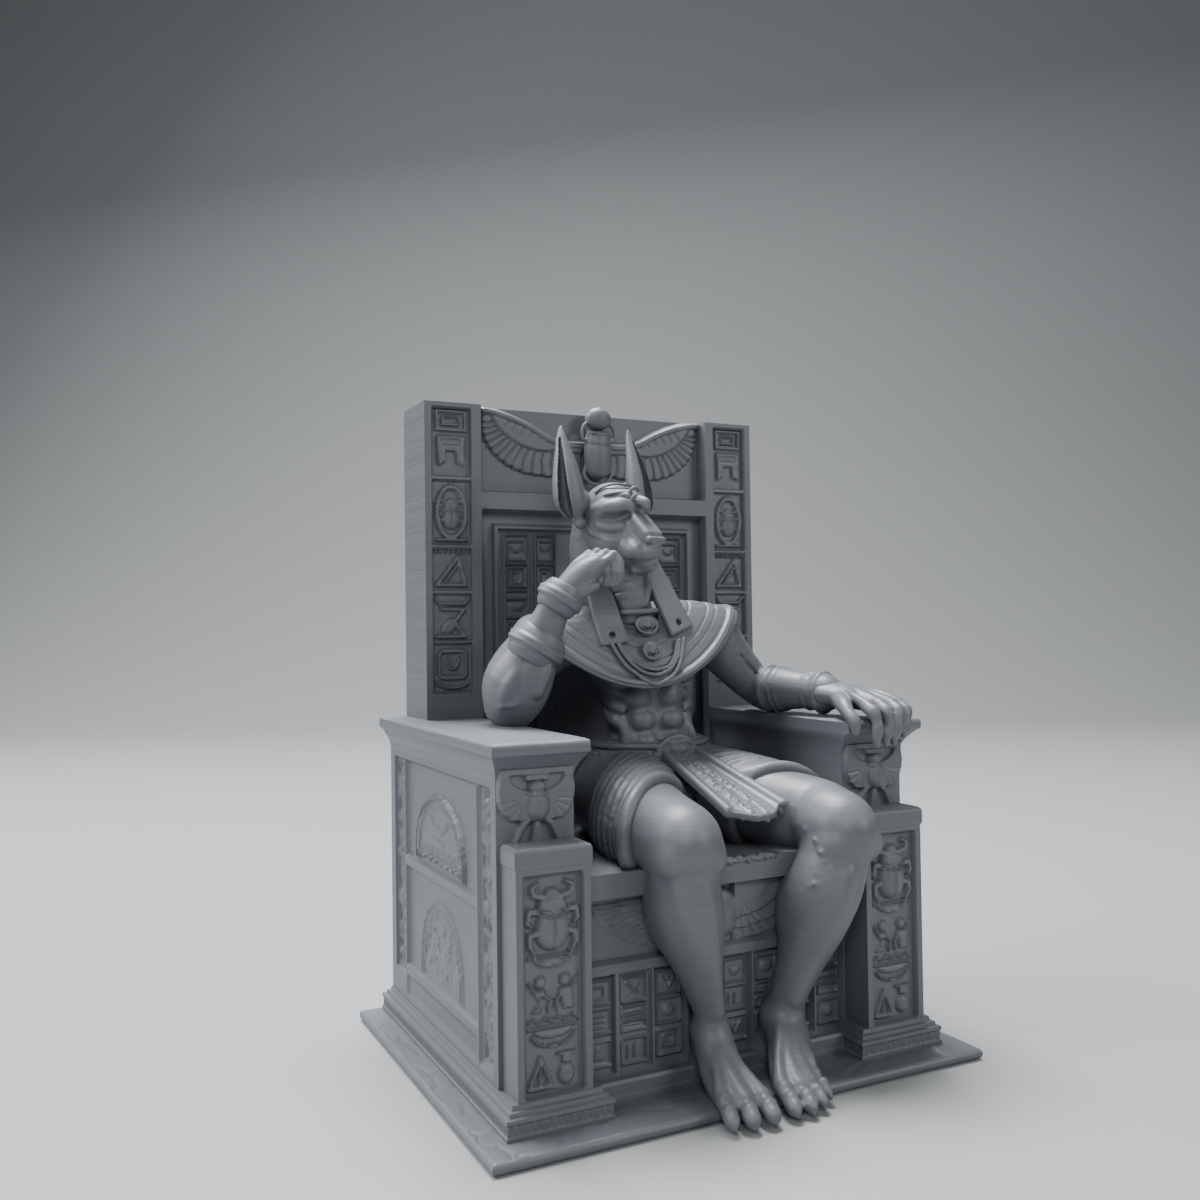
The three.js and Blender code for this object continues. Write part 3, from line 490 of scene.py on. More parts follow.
@dataclass(frozen=True)
class Egg(Form):
    """An ellipsoid: centre, half-sizes, and turns in degrees about x, then y, then z."""
    centre: Point
    radii: Point
    turn: Point = (0, 0, 0)

    def axes(self) -> Array:
        """The ellipsoid's own axes as rows."""
        a, b, c = np.radians(self.turn)
        rx = np.array([[1, 0, 0], [0, math.cos(a), -math.sin(a)], [0, math.sin(a), math.cos(a)]])
        ry = np.array([[math.cos(b), 0, math.sin(b)], [0, 1, 0], [-math.sin(b), 0, math.cos(b)]])
        rz = np.array([[math.cos(c), -math.sin(c), 0], [math.sin(c), math.cos(c), 0], [0, 0, 1]])
        return (rz @ ry @ rx).T

    def bounds(self) -> tuple[Array, Array]:
        """Lowest and highest corner."""
        reach = np.sqrt(((self.axes() * np.asarray(self.radii)[:, None]) ** 2).sum(0))
        return np.asarray(self.centre) - reach, np.asarray(self.centre) + reach

    def distance(self, x: Array, y: Array, z: Array) -> Array:
        """Signed distance at open grids of coordinates."""
        rows = self.axes()
        d = [x - self.centre[0], y - self.centre[1], z - self.centre[2]]
        first, second = 0.0, 0.0
        for row, radius in zip(rows, self.radii):
            along = sum(float(c) * v for c, v in zip(row, d) if abs(c) > 1e-9) / radius
            first = first + along ** 2
            second = second + (along / radius) ** 2
        k = np.sqrt(first)
        return k * (k - 1) / np.maximum(np.sqrt(second), 1e-6)


@dataclass(frozen=True)
class Strand(Form):
    """A round strand on a smooth curve through rows of x, y, z and radius.

    squeeze flattens it: the offset along a direction counts 1 / share times.
    """
    stations: Sequence[Point]
    steps: int = 4
    squeeze: tuple[Point, float] | None = None

    def bounds(self) -> tuple[Array, Array]:
        """Lowest and highest corner."""
        rows = np.asarray(self.stations, float)
        reach = rows[:, 3:4] * (max(1.0, self.squeeze[1]) if self.squeeze else 1.0)
        return (rows[:, :3] - reach).min(0) - 0.4, (rows[:, :3] + reach).max(0) + 0.4

    def distance(self, x: Array, y: Array, z: Array) -> Array:
        """Signed distance at open grids of coordinates."""
        rows = curve(self.stations, self.steps)
        axes = [np.ravel(x), np.ravel(y), np.ravel(z)]
        best = np.full([len(a) for a in axes], FAR, np.float32)
        for a, b in zip(rows[:-1], rows[1:]):
            reach = max(a[3], b[3]) * (max(1.0, self.squeeze[1]) if self.squeeze else 1.0) + 3.0
            span = [slice(*np.searchsorted(axes[k], [min(a[k], b[k]) - reach, max(a[k], b[k]) + reach]))
                    for k in range(3)]
            px, py = axes[0][span[0], None, None], axes[1][None, span[1], None]
            pz = axes[2][None, None, span[2]]
            d = b[:3] - a[:3]
            t = ((px - a[0]) * d[0] + (py - a[1]) * d[1] + (pz - a[2]) * d[2]) / max(d @ d, 1e-9)
            t = np.clip(t, 0, 1)
            ox, oy, oz = px - a[0] - t * d[0], py - a[1] - t * d[1], pz - a[2] - t * d[2]
            square = ox * ox + oy * oy + oz * oz
            if self.squeeze:
                way = unit(self.squeeze[0])
                along = ox * way[0] + oy * way[1] + oz * way[2]
                square = square + along * along * (1 / self.squeeze[1] ** 2 - 1)
            made = np.sqrt(square) - (a[3] + t * (b[3] - a[3]))
            best[span[0], span[1], span[2]] = np.minimum(best[span[0], span[1], span[2]], made)
        return best


@dataclass(frozen=True)
class Column(Form):
    """A stack of ellipses along one axis, through rows of level, two centres and two half-widths."""
    rows: Sequence[Point]
    axis: int = 2

    def others(self) -> tuple[int, int]:
        """The two axes across the column."""
        return tuple(k for k in range(3) if k != self.axis)

    def bounds(self) -> tuple[Array, Array]:
        """Lowest and highest corner."""
        fine = curve(self.rows, 6)
        low, high = np.zeros(3), np.zeros(3)
        low[self.axis], high[self.axis] = fine[:, 0].min(), fine[:, 0].max()
        for n, k in enumerate(self.others()):
            low[k] = (fine[:, 1 + n] - fine[:, 3 + n]).min()
            high[k] = (fine[:, 1 + n] + fine[:, 3 + n]).max()
        return low, high

    def distance(self, x: Array, y: Array, z: Array) -> Array:
        """Signed distance at open grids of coordinates."""
        fine = curve(self.rows, 8)
        fine = fine[np.argsort(fine[:, 0])]
        grids = (x, y, z)
        level = grids[self.axis]
        c0, c1, r0, r1 = (np.interp(level, fine[:, 0], fine[:, n]) for n in range(1, 5))
        first, second = self.others()
        a, b = grids[first] - c0, grids[second] - c1
        k = np.hypot(a / r0, b / r1)
        side = k * (k - 1) / np.maximum(np.hypot(a / r0 ** 2, b / r1 ** 2), 1e-6)
        return np.maximum(side, np.maximum(fine[0, 0] - level, level - fine[-1, 0]))


@dataclass(frozen=True)
class Plank(Form):
    """A flat board from start to end, with a half-width at each end."""
    start: Point
    end: Point
    widths: tuple[float, float]
    thick: float
    across: Point
    soft: float = 0.3

    def bounds(self) -> tuple[Array, Array]:
        """Lowest and highest corner."""
        reach = max(self.widths) + self.thick
        both = np.array([self.start, self.end], float)
        return both.min(0) - reach, both.max(0) + reach

    def local(self, x: Array, y: Array, z: Array) -> tuple[Array, Array, Array, float]:
        """Along, across and square to the board, and its length."""
        start, end = np.asarray(self.start, float), np.asarray(self.end, float)
        along = unit(end - start)
        wide = unit(np.asarray(self.across, float) - along * (along @ np.asarray(self.across, float)))
        face = np.cross(wide, along)
        d = (x - start[0], y - start[1], z - start[2])
        t, w, n = (sum(float(c) * v for c, v in zip(row, d)) for row in (along, wide, face))
        return t, w, n, float(np.linalg.norm(end - start))

    def distance(self, x: Array, y: Array, z: Array) -> Array:
        """Signed distance at open grids of coordinates."""
        t, w, n, length = self.local(x, y, z)
        half = self.widths[0] + np.clip(t / length, 0, 1) * (self.widths[1] - self.widths[0])
        a = np.abs(w) - half + self.soft
        b = np.abs(t - length / 2) - length / 2 + self.soft
        c = np.abs(n) - self.thick / 2 + self.soft
        outside = np.sqrt(np.maximum(a, 0) ** 2 + np.maximum(b, 0) ** 2 + np.maximum(c, 0) ** 2)
        return outside + np.minimum(np.maximum(np.maximum(a, b), c), 0) - self.soft


@dataclass(frozen=True)
class Beyond(Form):
    """What lies past a plane, within a box."""
    point: Point
    way: Point
    low: Point
    high: Point

    def bounds(self) -> tuple[Array, Array]:
        """Lowest and highest corner."""
        return np.asarray(self.low, float), np.asarray(self.high, float)

    def distance(self, x: Array, y: Array, z: Array) -> Array:
        """Signed distance at open grids of coordinates."""
        a, b, c = unit(self.way)
        return -((x - self.point[0]) * a + (y - self.point[1]) * b + (z - self.point[2]) * c)


@dataclass(frozen=True)
class Slice(Form):
    """The part of a form between two parallel planes that lie a width apart."""
    form: Form
    point: Point
    way: Point
    wide: float

    def bounds(self) -> tuple[Array, Array]:
        """Lowest and highest corner."""
        return self.form.bounds()

    def distance(self, x: Array, y: Array, z: Array) -> Array:
        """Signed distance at open grids of coordinates."""
        a, b, c = unit(self.way)
        off = np.abs((x - self.point[0]) * a + (y - self.point[1]) * b + (z - self.point[2]) * c)
        return np.maximum(self.form.distance(x, y, z), off - self.wide / 2)


@dataclass
class Clay:
    """A block of space that forms are blended into, and whose surface becomes a mesh.

    Args:
        low, high: corners of the block.
        pitch: edge of a voxel.
        turn: degrees that the finished mesh is turned about z.
        shift: millimetres that it is then moved.
    """
    low: Point
    high: Point
    pitch: float
    turn: float = 0.0
    shift: Point = (0, 0, 0)

    def __post_init__(self) -> None:
        """Starts as empty space."""
        self.axes = [np.arange(a, b + self.pitch, self.pitch, dtype=np.float32)
                     for a, b in zip(self.low, self.high)]
        self.d = np.full([len(a) for a in self.axes], FAR, np.float32)

    def window(self, low: Array, high: Array, margin: float) -> tuple[tuple, tuple]:
        """The slices that a box and its margin cover, with open grids of their coordinates."""
        spans = tuple(slice(*np.searchsorted(axis, [low[k] - margin, high[k] + margin]))
                      for k, axis in enumerate(self.axes))
        cut = [axis[span] for axis, span in zip(self.axes, spans)]
        return spans, (cut[0][:, None, None], cut[1][None, :, None], cut[2][None, None, :])

    def add(self, form: Form, blend: float = 0.6) -> "Clay":
        """Joins a form with a soft seam of that width."""
        spans, grids = self.window(*form.bounds(), blend + BAND * self.pitch)
        fresh, old = form.distance(*grids), self.d[spans]
        share = np.maximum(blend - np.abs(fresh - old), 0) / blend
        self.d[spans] = np.minimum(fresh, old) - share * share * blend / 4
        return self

    def cut(self, form: Form, blend: float = 0.4) -> "Clay":
        """Takes a form out with a soft edge of that width."""
        spans, grids = self.window(*form.bounds(), blend + BAND * self.pitch)
        fresh, old = -form.distance(*grids), self.d[spans]
        share = np.maximum(blend - np.abs(fresh - old), 0) / blend
        self.d[spans] = np.maximum(fresh, old) + share * share * blend / 4
        return self

    def hit(self, start: Array, way: Array) -> Array:
        """Where a straight line from a point first meets the surface."""
        rows = start + np.arange(0, 400, self.pitch * 0.5)[:, None] * unit(way)
        index = [np.round((rows[:, k] - axis[0]) / self.pitch).astype(int)
                 for k, axis in enumerate(self.axes)]
        inside = np.all([(i >= 0) & (i < len(axis)) for i, axis in zip(index, self.axes)], 0)
        depth = np.full(len(rows), FAR)
        depth[inside] = self.d[tuple(i[inside] for i in index)]
        return rows[int(np.argmax(depth < 0))]

    def keep(self, low: Point, high: Point) -> "Clay":
        """Keeps only what lies in a box, with flat cuts."""
        for k, axis in enumerate(self.axes):
            shape = [1, 1, 1]
            shape[k] = -1
            outside = np.maximum(low[k] - axis, axis - high[k]).reshape(shape)
            self.d = np.maximum(self.d, outside.astype(np.float32))
        return self

    def mesh(self, name: str) -> bpy.types.Mesh:
        """The zero surface as a closed mesh. Its faces point inwards, a known fault.

        Args:
            name: mesh name.
        Returns:
            The mesh.
        """
        solid = self.d.copy()
        for k in range(3):
            edge = [slice(None)] * 3
            for end in (0, -1):
                edge[k] = end
                solid[tuple(edge)] = np.maximum(solid[tuple(edge)], 0.5 * self.pitch)
        grid = openvdb.FloatGrid(float(BAND))
        grid.copyFromArray(np.clip(solid / self.pitch, -BAND, BAND).astype(np.float32), tolerance=0.0)
        points, tris, quads = grid.convertToPolygons(isovalue=0.0, adaptivity=0.0)
        rows = points * self.pitch + np.array([a[0] for a in self.axes])
        quads = quads[:, ::-1] if len(quads) else quads
        tris = tris[:, ::-1] if len(tris) else tris
        c, s = math.cos(math.radians(self.turn)), math.sin(math.radians(self.turn))
        turned = np.column_stack([rows[:, 0] * c - rows[:, 1] * s, rows[:, 0] * s + rows[:, 1] * c,
                                  rows[:, 2]])
        return facets_to_mesh(name, turned + np.asarray(self.shift, float), quads, tris)


# The throne

class Side(Enum):
    """A side of the throne, by the sign of x: the figure's right is at -X."""
    RIGHT = -1
    LEFT = 1

    def span(self, inner: float, outer: float) -> tuple[float, float]:
        """The range of x between two distances from the middle."""
        return (inner, outer) if self is Side.LEFT else (-outer, -inner)


def facing_front(plane: float) -> Callable[[Array, Array, Array], Array]:
    """Places x, z and height on a face that looks along -Y."""
    return lambda u, v, h: np.column_stack([u, plane - h, v])


def lines(*spans: Point) -> Array:
    """Grid lines over joined spans of start, stop and spacing."""
    made = [np.linspace(a, b, max(2, int(round((b - a) / step)) + 1))[:-1] for a, b, step in spans]
    return np.concatenate([*made, [spans[-1][1]]])


def rect_loop(relief: Relief, outset: float) -> tuple[float, float, float, float]:
    """The border of a relief, moved outwards."""
    return (relief.u[0] - outset, relief.u[-1] + outset, relief.v[0] - outset, relief.v[-1] + outset)


def straight(relief: Relief, *depths: float) -> list[tuple[float, tuple[float, float, float, float]]]:
    """Loops that go straight back from a relief's border, one for each depth."""
    return [(depth, rect_loop(relief, 0.0)) for depth in depths]


BEETLE_LEGS = (((0.10, 0.30), (0.30, 0.36), (0.33, 0.47), (0.22, 0.52)),
               ((0.22, 0.10), (0.37, 0.13), (0.41, -0.02), (0.36, -0.08)),
               ((0.22, -0.20), (0.36, -0.22), (0.37, -0.38), (0.29, -0.48)))


def beetle(relief: Relief, u: float, v: float, size: float, base: float) -> None:
    """A scarab in low relief: domed wing-cases with a seam, shield, head and six bent legs."""
    s = size
    for turn in (-1, 1):
        for leg in BEETLE_LEGS:
            bent = [(u + turn * p * s, v + q * s) for p, q in leg]
            relief.raised(stroke(bent, 0.050 * s, 0.030 * s), 0.09 * s, 0.4, base)
    relief.domed(disc(u, v - 0.15 * s, 0.28 * s, 0.33 * s), 0.17 * s, 0.24 * s, base)
    relief.domed(disc(u, v + 0.20 * s, 0.24 * s, 0.14 * s), 0.14 * s, 0.12 * s, base)
    relief.domed(disc(u, v + 0.36 * s, 0.12 * s, 0.09 * s), 0.10 * s, 0.08 * s, base)
    relief.grooved(stroke([(u, v + 0.08 * s), (u, v - 0.46 * s)], 0.012 * s), 0.03 * s)
    relief.grooved(swing(u, v + 0.10 * s, 0.24 * s, 190, 350, 0.014 * s, 0.25), 0.04 * s)


@dataclass
class Plinth:
    """The thin base: paving stones on its top and a round nosing."""
    shop: Workshop
    half: tuple[float, float] = (56.0, 44.3)
    top: float = 2.4
    nose: float = 1.1

    def paving(self, relief: Relief) -> None:
        """Stone outlines where a point is equally far from its two nearest jittered seeds."""
        rng = np.random.default_rng(7)
        seeds = np.array([(x + rng.uniform(-4, 4), y + rng.uniform(-2.6, 2.6))
                          for x in np.arange(-60, 61, 12.5) for y in np.arange(-48, 49, 7.5)])
        uu, vv = np.meshgrid(relief.u, relief.v)
        warp = noise(np.stack([uu.ravel(), vv.ravel()], 1), 5.0, 3).reshape(uu.shape)
        near = np.sort(np.hypot(uu[..., None] + warp[..., None] - seeds[:, 0],
                                1.5 * (vv[..., None] + 0.6 * warp[..., None] - seeds[:, 1])), axis=-1)
        owner = np.argmin(np.hypot(uu[..., None] - seeds[:, 0], 1.5 * (vv[..., None] - seeds[:, 1])),
                          axis=-1)
        gap = near[..., 1] - near[..., 0]
        relief.h -= 0.34 * (1 - ramp(gap, 0.25, 1.0))
        hatch = 0.12 * (np.sin(2 * np.pi * (uu * 0.8 + vv * (owner % 5 - 2) * 0.35) / 1.15) > 0.2)
        relief.h -= hatch * (owner % 3 == 0) * ramp(gap, 0.8, 1.3)
        edge = np.minimum(self.half[0] - np.abs(uu), self.half[1] - np.abs(vv))
        for inset in (1.7, 2.6, 3.4):
            relief.h -= 0.16 * (1 - ramp(np.abs(edge - inset), 0.10, 0.34))
        relief.h += 0.05 * noise(np.stack([uu.ravel(), vv.ravel()], 1), 1.6, 4).reshape(uu.shape)

    def build(self) -> None:
        """Makes the plinth."""
        u = lines((-self.half[0] + self.nose, -46, 0.5), (-46, 46, 1.1),
                  (46, self.half[0] - self.nose, 0.55))
        v = lines((-self.half[1] + self.nose, -27, 0.5), (-27, self.half[1] - self.nose, 1.2))
        relief = Relief(u, v)
        self.paving(relief)
        turns = np.radians(np.linspace(25, 180, 8))
        loops = [(self.top / 2 * (1 - math.cos(a)), rect_loop(relief, self.nose * math.sin(a)))
                 for a in turns]
        mesh = relief_block("plinth", relief, lambda a, b, h: np.column_stack([a, b, self.top + h]), loops)
        self.shop.place("plinth", mesh, 50)


@dataclass
class ArmBlock:
    """One arm of the throne: stepped foot, carved outer side, cornice, winged beetle and post.

    Args:
        side: which arm.
        shop: where the pieces go.
    """
    side: Side
    shop: Workshop
    inner: float = 32.4
    outer: float = 48.5
    front: float = -28.2
    back: float = 41.5
    top: float = 72.6

    def label(self, what: str) -> str:
        """A piece name with its side."""
        return f"{what}_{self.side.name.lower()}"

    def foot(self) -> None:
        """The stepped foot with a knurled line round it."""
        x = self.side.span(28.9, 50.7)
        profile = [(1.6, 0.0), (2.9, 0.0), (3.2, -0.3), (5.0, -0.3), (5.3, 0.0), (6.0, -0.1), (6.1, -0.9),
                   (6.9, -1.0), (7.0, -1.7), (7.9, -1.9)]
        fine = (0.36, 0.4, 6.0, 0.9) if self.side is Side.LEFT else (0.36, 0.9, 6.0, 0.36)
        wall = Wall(x, (-37.7, 43.4), stepped(profile, 0.36), fine)
        for side in (0, 1, 3):
            index, relief = wall.face(side)
            wave = np.sin(2 * np.pi * relief.u / 1.3)[None, :]
            band = 1 - ramp(np.abs(relief.v - 4.1), 0.5, 0.8)[:, None]
            relief.h += 0.12 * band * np.sign(wave) * np.abs(wave) ** 0.5
            wall.carve(index, relief)
        self.shop.place(self.label("foot"), wall.mesh("foot"), 35)

    def flank_relief(self, relief: Relief) -> None:
        """The outer side, drawn in y and z: knurled strips, rails, arched picture and the arch below."""
        depth = 0.95
        fields = [(-16.9, 29.4, 41.2, 63.2), (-16.9, 29.4, 16.2, 38.9)]
        strips = [(-25.4, -18.3, 9.5, 63.4), (30.8, 38.2, 13.6, 63.4)]
        for y0, y1, z0, z1 in fields + strips:
            relief.sunk(slab(y0, y1, z0, z1), depth, 0.4)
        relief.sunk(slab(-16.9, 29.4, 9.4, 13.9), 0.5, 0.3)
        for y0, y1, z0, z1 in strips:
            relief.rubbed((y0 + 0.9, y1 - 0.9, z0 + 0.8, z1 - 0.8), 1.25, 0.50, 21)
            relief.rubbed((y0 + 0.9, y1 - 0.9, z0 + 0.8, z1 - 0.8), 0.7, 0.22, 22)
            relief.raised(frame_of(y0 + 0.7, y1 - 0.7, z0 + 0.6, z1 - 0.6, 0.22), 0.45, 0.3, -depth)
        floor = -depth
        y, foot, wide, rise = 6.8, 42.6, 15.6, 14.6
        turns = np.radians(np.linspace(0, 180, 25))
        arch = np.stack([y + wide * np.cos(turns), foot + rise * np.sin(turns) ** 0.8], 1)
        relief.domed(outline([*arch, (y - wide, foot), (y + wide, foot)]), 0.55, 4.0, floor)
        relief.raised(stroke(arch, 0.42), 0.95, 0.4, floor)
        relief.raised(stroke([(y + (p - y) * 0.87, foot + (q - foot) * 0.86) for p, q in arch], 0.28), 0.8,
                      0.3, floor)
        relief.raised(stroke([(y + 13.8, foot + 2), (y + 12.6, foot + 7.4), (y + 8.6, foot + 11.2)], 0.9,
                             0.4), 1.0, 0.5, floor)
        for row in range(3):
            wave = [(p, foot + 0.9 + row * 1.2 + 0.42 * math.sin(p * 1.7 + row))
                    for p in np.linspace(y - 14.6, y + 14.6, 40)]
            relief.raised(stroke(wave, 0.22), 0.85, 0.3, floor)
        relief.raised(stroke([(y - 6, foot + 9.5), (y - 2, foot + 7.6), (y + 3, foot + 8.4),
                              (y + 6, foot + 10.2)], 0.7, 0.3), 0.95, 0.5, floor)
        relief.raised(stroke([(y - 3.5, foot + 5), (y + 4.5, foot + 5.6)], 0.45, 0.25), 0.8, 0.4, floor)
        low = [(y + 13.6 * math.cos(a), 17.0 + 17.5 * math.sin(a) ** 0.7) for a in turns]
        relief.raised(stroke(low, 0.30), 0.40, 0.4, floor)
        relief.raised(stroke([(y + (p - y) * 0.86, 17.0 + (q - 17.0) * 0.88) for p, q in low], 0.22), 0.32,
                      0.3, floor)
        rng = np.random.default_rng(31)
        for _ in range(26):
            p, q = rng.uniform(y - 10, y + 10), rng.uniform(19, 32)
            a, reach = rng.uniform(0.4, 2.7), rng.uniform(1.0, 3.6)
            relief.raised(stroke([(p, q), (p + reach * math.cos(a), q + reach * math.sin(a))], 0.2, 0.1),
                          0.34, 0.3, floor)
        relief.rubbed((y - 11, y + 11, 18, 33), 1.6, 0.12, 23)

    def flank(self) -> None:
        """The carved outer side as a block with a relief on its face."""
        step = 0.45 if self.side is Side.RIGHT else 0.62
        relief = Relief(lines((self.front, self.back, step)),
                        lines((6.0, 14.0, step * 1.3), (14.0, 66.2, step)))
        self.flank_relief(relief)
        plane, sign = self.outer, self.side.value
        if self.side is Side.RIGHT:
            relief.u, relief.h = -relief.u[::-1], relief.h[:, ::-1]
        mesh = relief_block("flank", relief,
                            lambda u, v, h: np.column_stack([sign * (plane + h), sign * u, v]),
                            straight(relief, 1.0, self.outer - self.inner))
        self.shop.place(self.label("arm_side"), mesh, 40)

    def cornice(self) -> None:
        """The cornice: a slab with a worn top, over a cove that flares to the front and outside."""
        x0, x1 = self.side.span(self.inner - 1.6, self.outer + 1.95)
        y0, y1 = self.front - 4.0, self.back + 1.2
        relief = Relief(lines((x0, x1, 0.6)), lines((y0, y1, 0.6)))
        uu, vv = np.meshgrid(relief.u, relief.v)
        flat = np.stack([uu.ravel(), vv.ravel()], 1)
        bands = noise(flat, 9.0, 41).reshape(uu.shape) + 0.4 * noise(flat, 3.0, 42).reshape(uu.shape)
        relief.h += 0.09 * np.floor(bands * 2.2) / 2.2
        if self.side is Side.RIGHT:
            worn = [(-44, -8), (-41, -14), (-36, -15.5), (-33, -13)]
            relief.grooved(stroke(worn, 0.16), 0.16)
            relief.grooved(stroke([(-47, 2), (-43, -4), (-38, -5)], 0.12), 0.12)
        border = np.minimum(np.minimum(uu - x0, x1 - uu), np.minimum(vv - y0, y1 - vv))
        relief.h -= 0.22 * (1 - ramp(border, 0.0, 0.7))
        profile = [(0.5, 1.0), (0.9, 1.04), (2.2, 1.04), (2.5, 1.0), (2.65, 0.90), (3.2, 0.72), (4.0, 0.50),
                   (4.9, 0.30), (5.9, 0.13), (6.9, 0.03), (7.6, 0.0)]
        loops = []
        for depth, share in profile:
            flare = 2.3 * share
            a, b = self.side.span(self.inner - min(1.6, flare), self.outer + flare)
            loops.append((depth, (a, b, self.front - 4.4 * share, self.back + 1.4 * share)))
        mesh = relief_block("cornice", relief, lambda u, v, h: np.column_stack([u, v, self.top + h]), loops)
        self.shop.place(self.label("arm_top"), mesh, 40)

    def beetle_front(self) -> None:
        """The arm's front over the post: a scalloped winged shield, a bowl, an egg body and splayed legs."""
        x0, x1 = self.side.span(self.inner + 0.1, self.outer - 0.1)
        mid = (x0 + x1) / 2
        relief = Relief(lines((x0, x1, 0.2)), lines((50.6, 67.5, 0.2)))
        right = [(mid + p, q) for p, q in ((1.2, 57.2), (5.2, 57.6), (6.8, 59.0), (7.75, 61.2),
                                           (7.95, 63.4), (7.6, 65.4), (7.8, 67.4))]
        left = [(2 * mid - p, q) for p, q in right[::-1]]
        relief.raised(outline(right + left), 1.25, 0.5, 0.0)
        relief.h[:] = np.maximum(relief.h, 0.0)
        well = bowl(mid, 66.0, 5.6, 3.2)
        relief.sunk(well, 0.9, 0.6)
        for turn in (-1, 1):
            for k in range(4):
                a = math.radians(-12 - 24 * k)
                relief.grooved(stroke([(mid + turn * (3.0 + 1.2 * math.cos(a)), 61.6 + 1.6 * math.sin(a)),
                                       (mid + turn * (3.2 + 4.6 * math.cos(a)), 62.0 + 4.6 * math.sin(a))],
                                      0.10), 0.22)
            relief.raised(stroke([(mid + turn * 0.9, 58.6), (mid + turn * 3.0, 56.6),
                                  (mid + turn * 4.5, 53.2)], 0.75, 0.5), 1.2, 0.5, 0.0)
        relief.raised(outline([(mid - 0.5, 58.0), (mid + 0.5, 58.0), (mid + 1.5, 53.2), (mid - 1.5, 53.2)]),
                      1.1, 0.5, 0.0)
        relief.domed(disc(mid, 60.2, 2.7, 3.3), 2.3, 2.4, 0.2)
        relief.domed(disc(mid, 63.8, 1.9, 1.3), 1.7, 1.2, 0.2)
        relief.raised(slab(mid - 2.6, mid + 2.6, 64.9, 66.2, 0.3), 1.5, 0.5, 0.0)
        relief.grooved(stroke([(mid - 2.3, 62.3), (mid + 2.3, 62.3)], 0.08), 0.25)
        relief.grooved(stroke([(mid, 61.8), (mid, 57.2)], 0.06), 0.2)
        mesh = relief_block("arm_front", relief, facing_front(self.front - 0.12), straight(relief, 3.0))
        self.shop.place(self.label("arm_front"), mesh, 45)

    def post_relief(self, relief: Relief, mid: float) -> None:
        """The sunk strip of a post: scarab, bowl, kneeling pair, rope line, bowl, tent and vase."""
        floor = -1.5
        relief.sunk(slab(mid - 5.9, mid + 5.9, 8.2, 48.3), 1.5, 0.4)
        relief.raised(frame_of(mid - 5.6, mid + 5.6, 8.5, 48.0, 0.16), 0.45, 0.25, floor)
        beetle(relief, mid, 40.2, 12.6, floor)
        relief.raised(swing(mid, 33.6, 3.8, 180, 360, 0.34, 0.55), 0.95, 0.4, floor)
        relief.raised(stroke([(mid - 4.8, 33.2), (mid + 4.8, 33.2)], 0.26), 0.85, 0.3, floor)
        relief.domed(bowl(mid, 32.7, 3.4, 1.5), 0.7, 0.9, floor)
        for turn in (-1, 1):
            u = mid + turn * 2.5
            relief.domed(disc(u, 28.6, 1.15), 1.0, 0.9, floor)
            relief.domed(outline([(u - 1.4, 27.2), (u + 1.4, 27.2), (u + turn * 2.0, 23.0),
                                  (u - turn * 0.4, 23.0)]), 0.9, 0.9, floor)
            relief.raised(stroke([(u - turn * 0.5, 26.4), (u - turn * 1.9, 25.2), (u - turn * 1.6, 23.2)],
                                 0.32), 0.9, 0.3, floor)
            relief.raised(stroke([(u + turn * 0.8, 26.2), (u + turn * 2.2, 28.6)], 0.28), 0.8, 0.3, floor)
        for k in range(13):
            relief.raised(disc(mid - 4.8 + 0.8 * k, 21.6 + 0.25 * math.sin(k * 1.9), 0.42, 0.34, 35), 0.75,
                          0.3, floor)
        relief.raised(stroke([(mid - 4.9, 20.2), (mid + 4.9, 20.2)], 0.26), 0.8, 0.3, floor)
        relief.domed(bowl(mid, 19.9, 3.9, 1.9), 0.8, 1.0, floor)
        relief.raised(swing(mid, 19.4, 4.4, 195, 345, 0.22, 0.6), 0.9, 0.3, floor)
        tent = [(mid - 5.0, 9.6), (mid - 2.6, 14.8), (mid - 0.4, 9.6)]
        relief.raised(stroke([*tent, tent[0]], 0.38), 0.95, 0.4, floor)
        relief.raised(stroke([(mid - 2.6, 14.4), (mid - 2.7, 10.0)], 0.24), 0.8, 0.3, floor)
        relief.domed(disc(mid + 2.6, 11.2, 1.7, 2.0), 1.0, 1.2, floor)
        relief.raised(slab(mid + 1.7, mid + 3.5, 13.4, 15.0, 0.3), 0.85, 0.4, floor)
        relief.raised(stroke([(mid + 1.0, 15.2), (mid + 4.2, 15.2)], 0.28), 0.85, 0.3, floor)
        relief.rubbed((mid - 5.4, mid + 5.4, 8.8, 47.8), 0.8, 0.07, 51)

    def post(self) -> None:
        """The low post in front of the arm, and its cap."""
        x0, x1 = self.side.span(32.5, 47.6)
        relief = Relief(lines((x0, x1, 0.26)), lines((5.8, 8.0, 0.4), (8.0, 48.6, 0.27), (48.6, 50.4, 0.4)))
        self.post_relief(relief, (x0 + x1) / 2)
        for z in (49.0, 48.0):
            relief.grooved(stroke([(x0 - 1, z + 0.9), (x1 + 1, z + 0.9)], 0.05), 0.08)
        mesh = relief_block("post", relief, facing_front(-35.6), straight(relief, 1.0, 8.0))
        self.shop.place(self.label("post"), mesh, 40)
        profile = [(49.7, -0.15), (50.2, 0.0), (52.6, 0.0), (53.1, -0.15), (53.5, -0.7)]
        cap = Wall(self.side.span(32.2, 47.9), (-35.9, -27.0), stepped(profile, 0.3), (0.8, 0.8, 3.0, 0.8))
        self.shop.place(self.label("post_cap"), cap.mesh("cap"), 35)

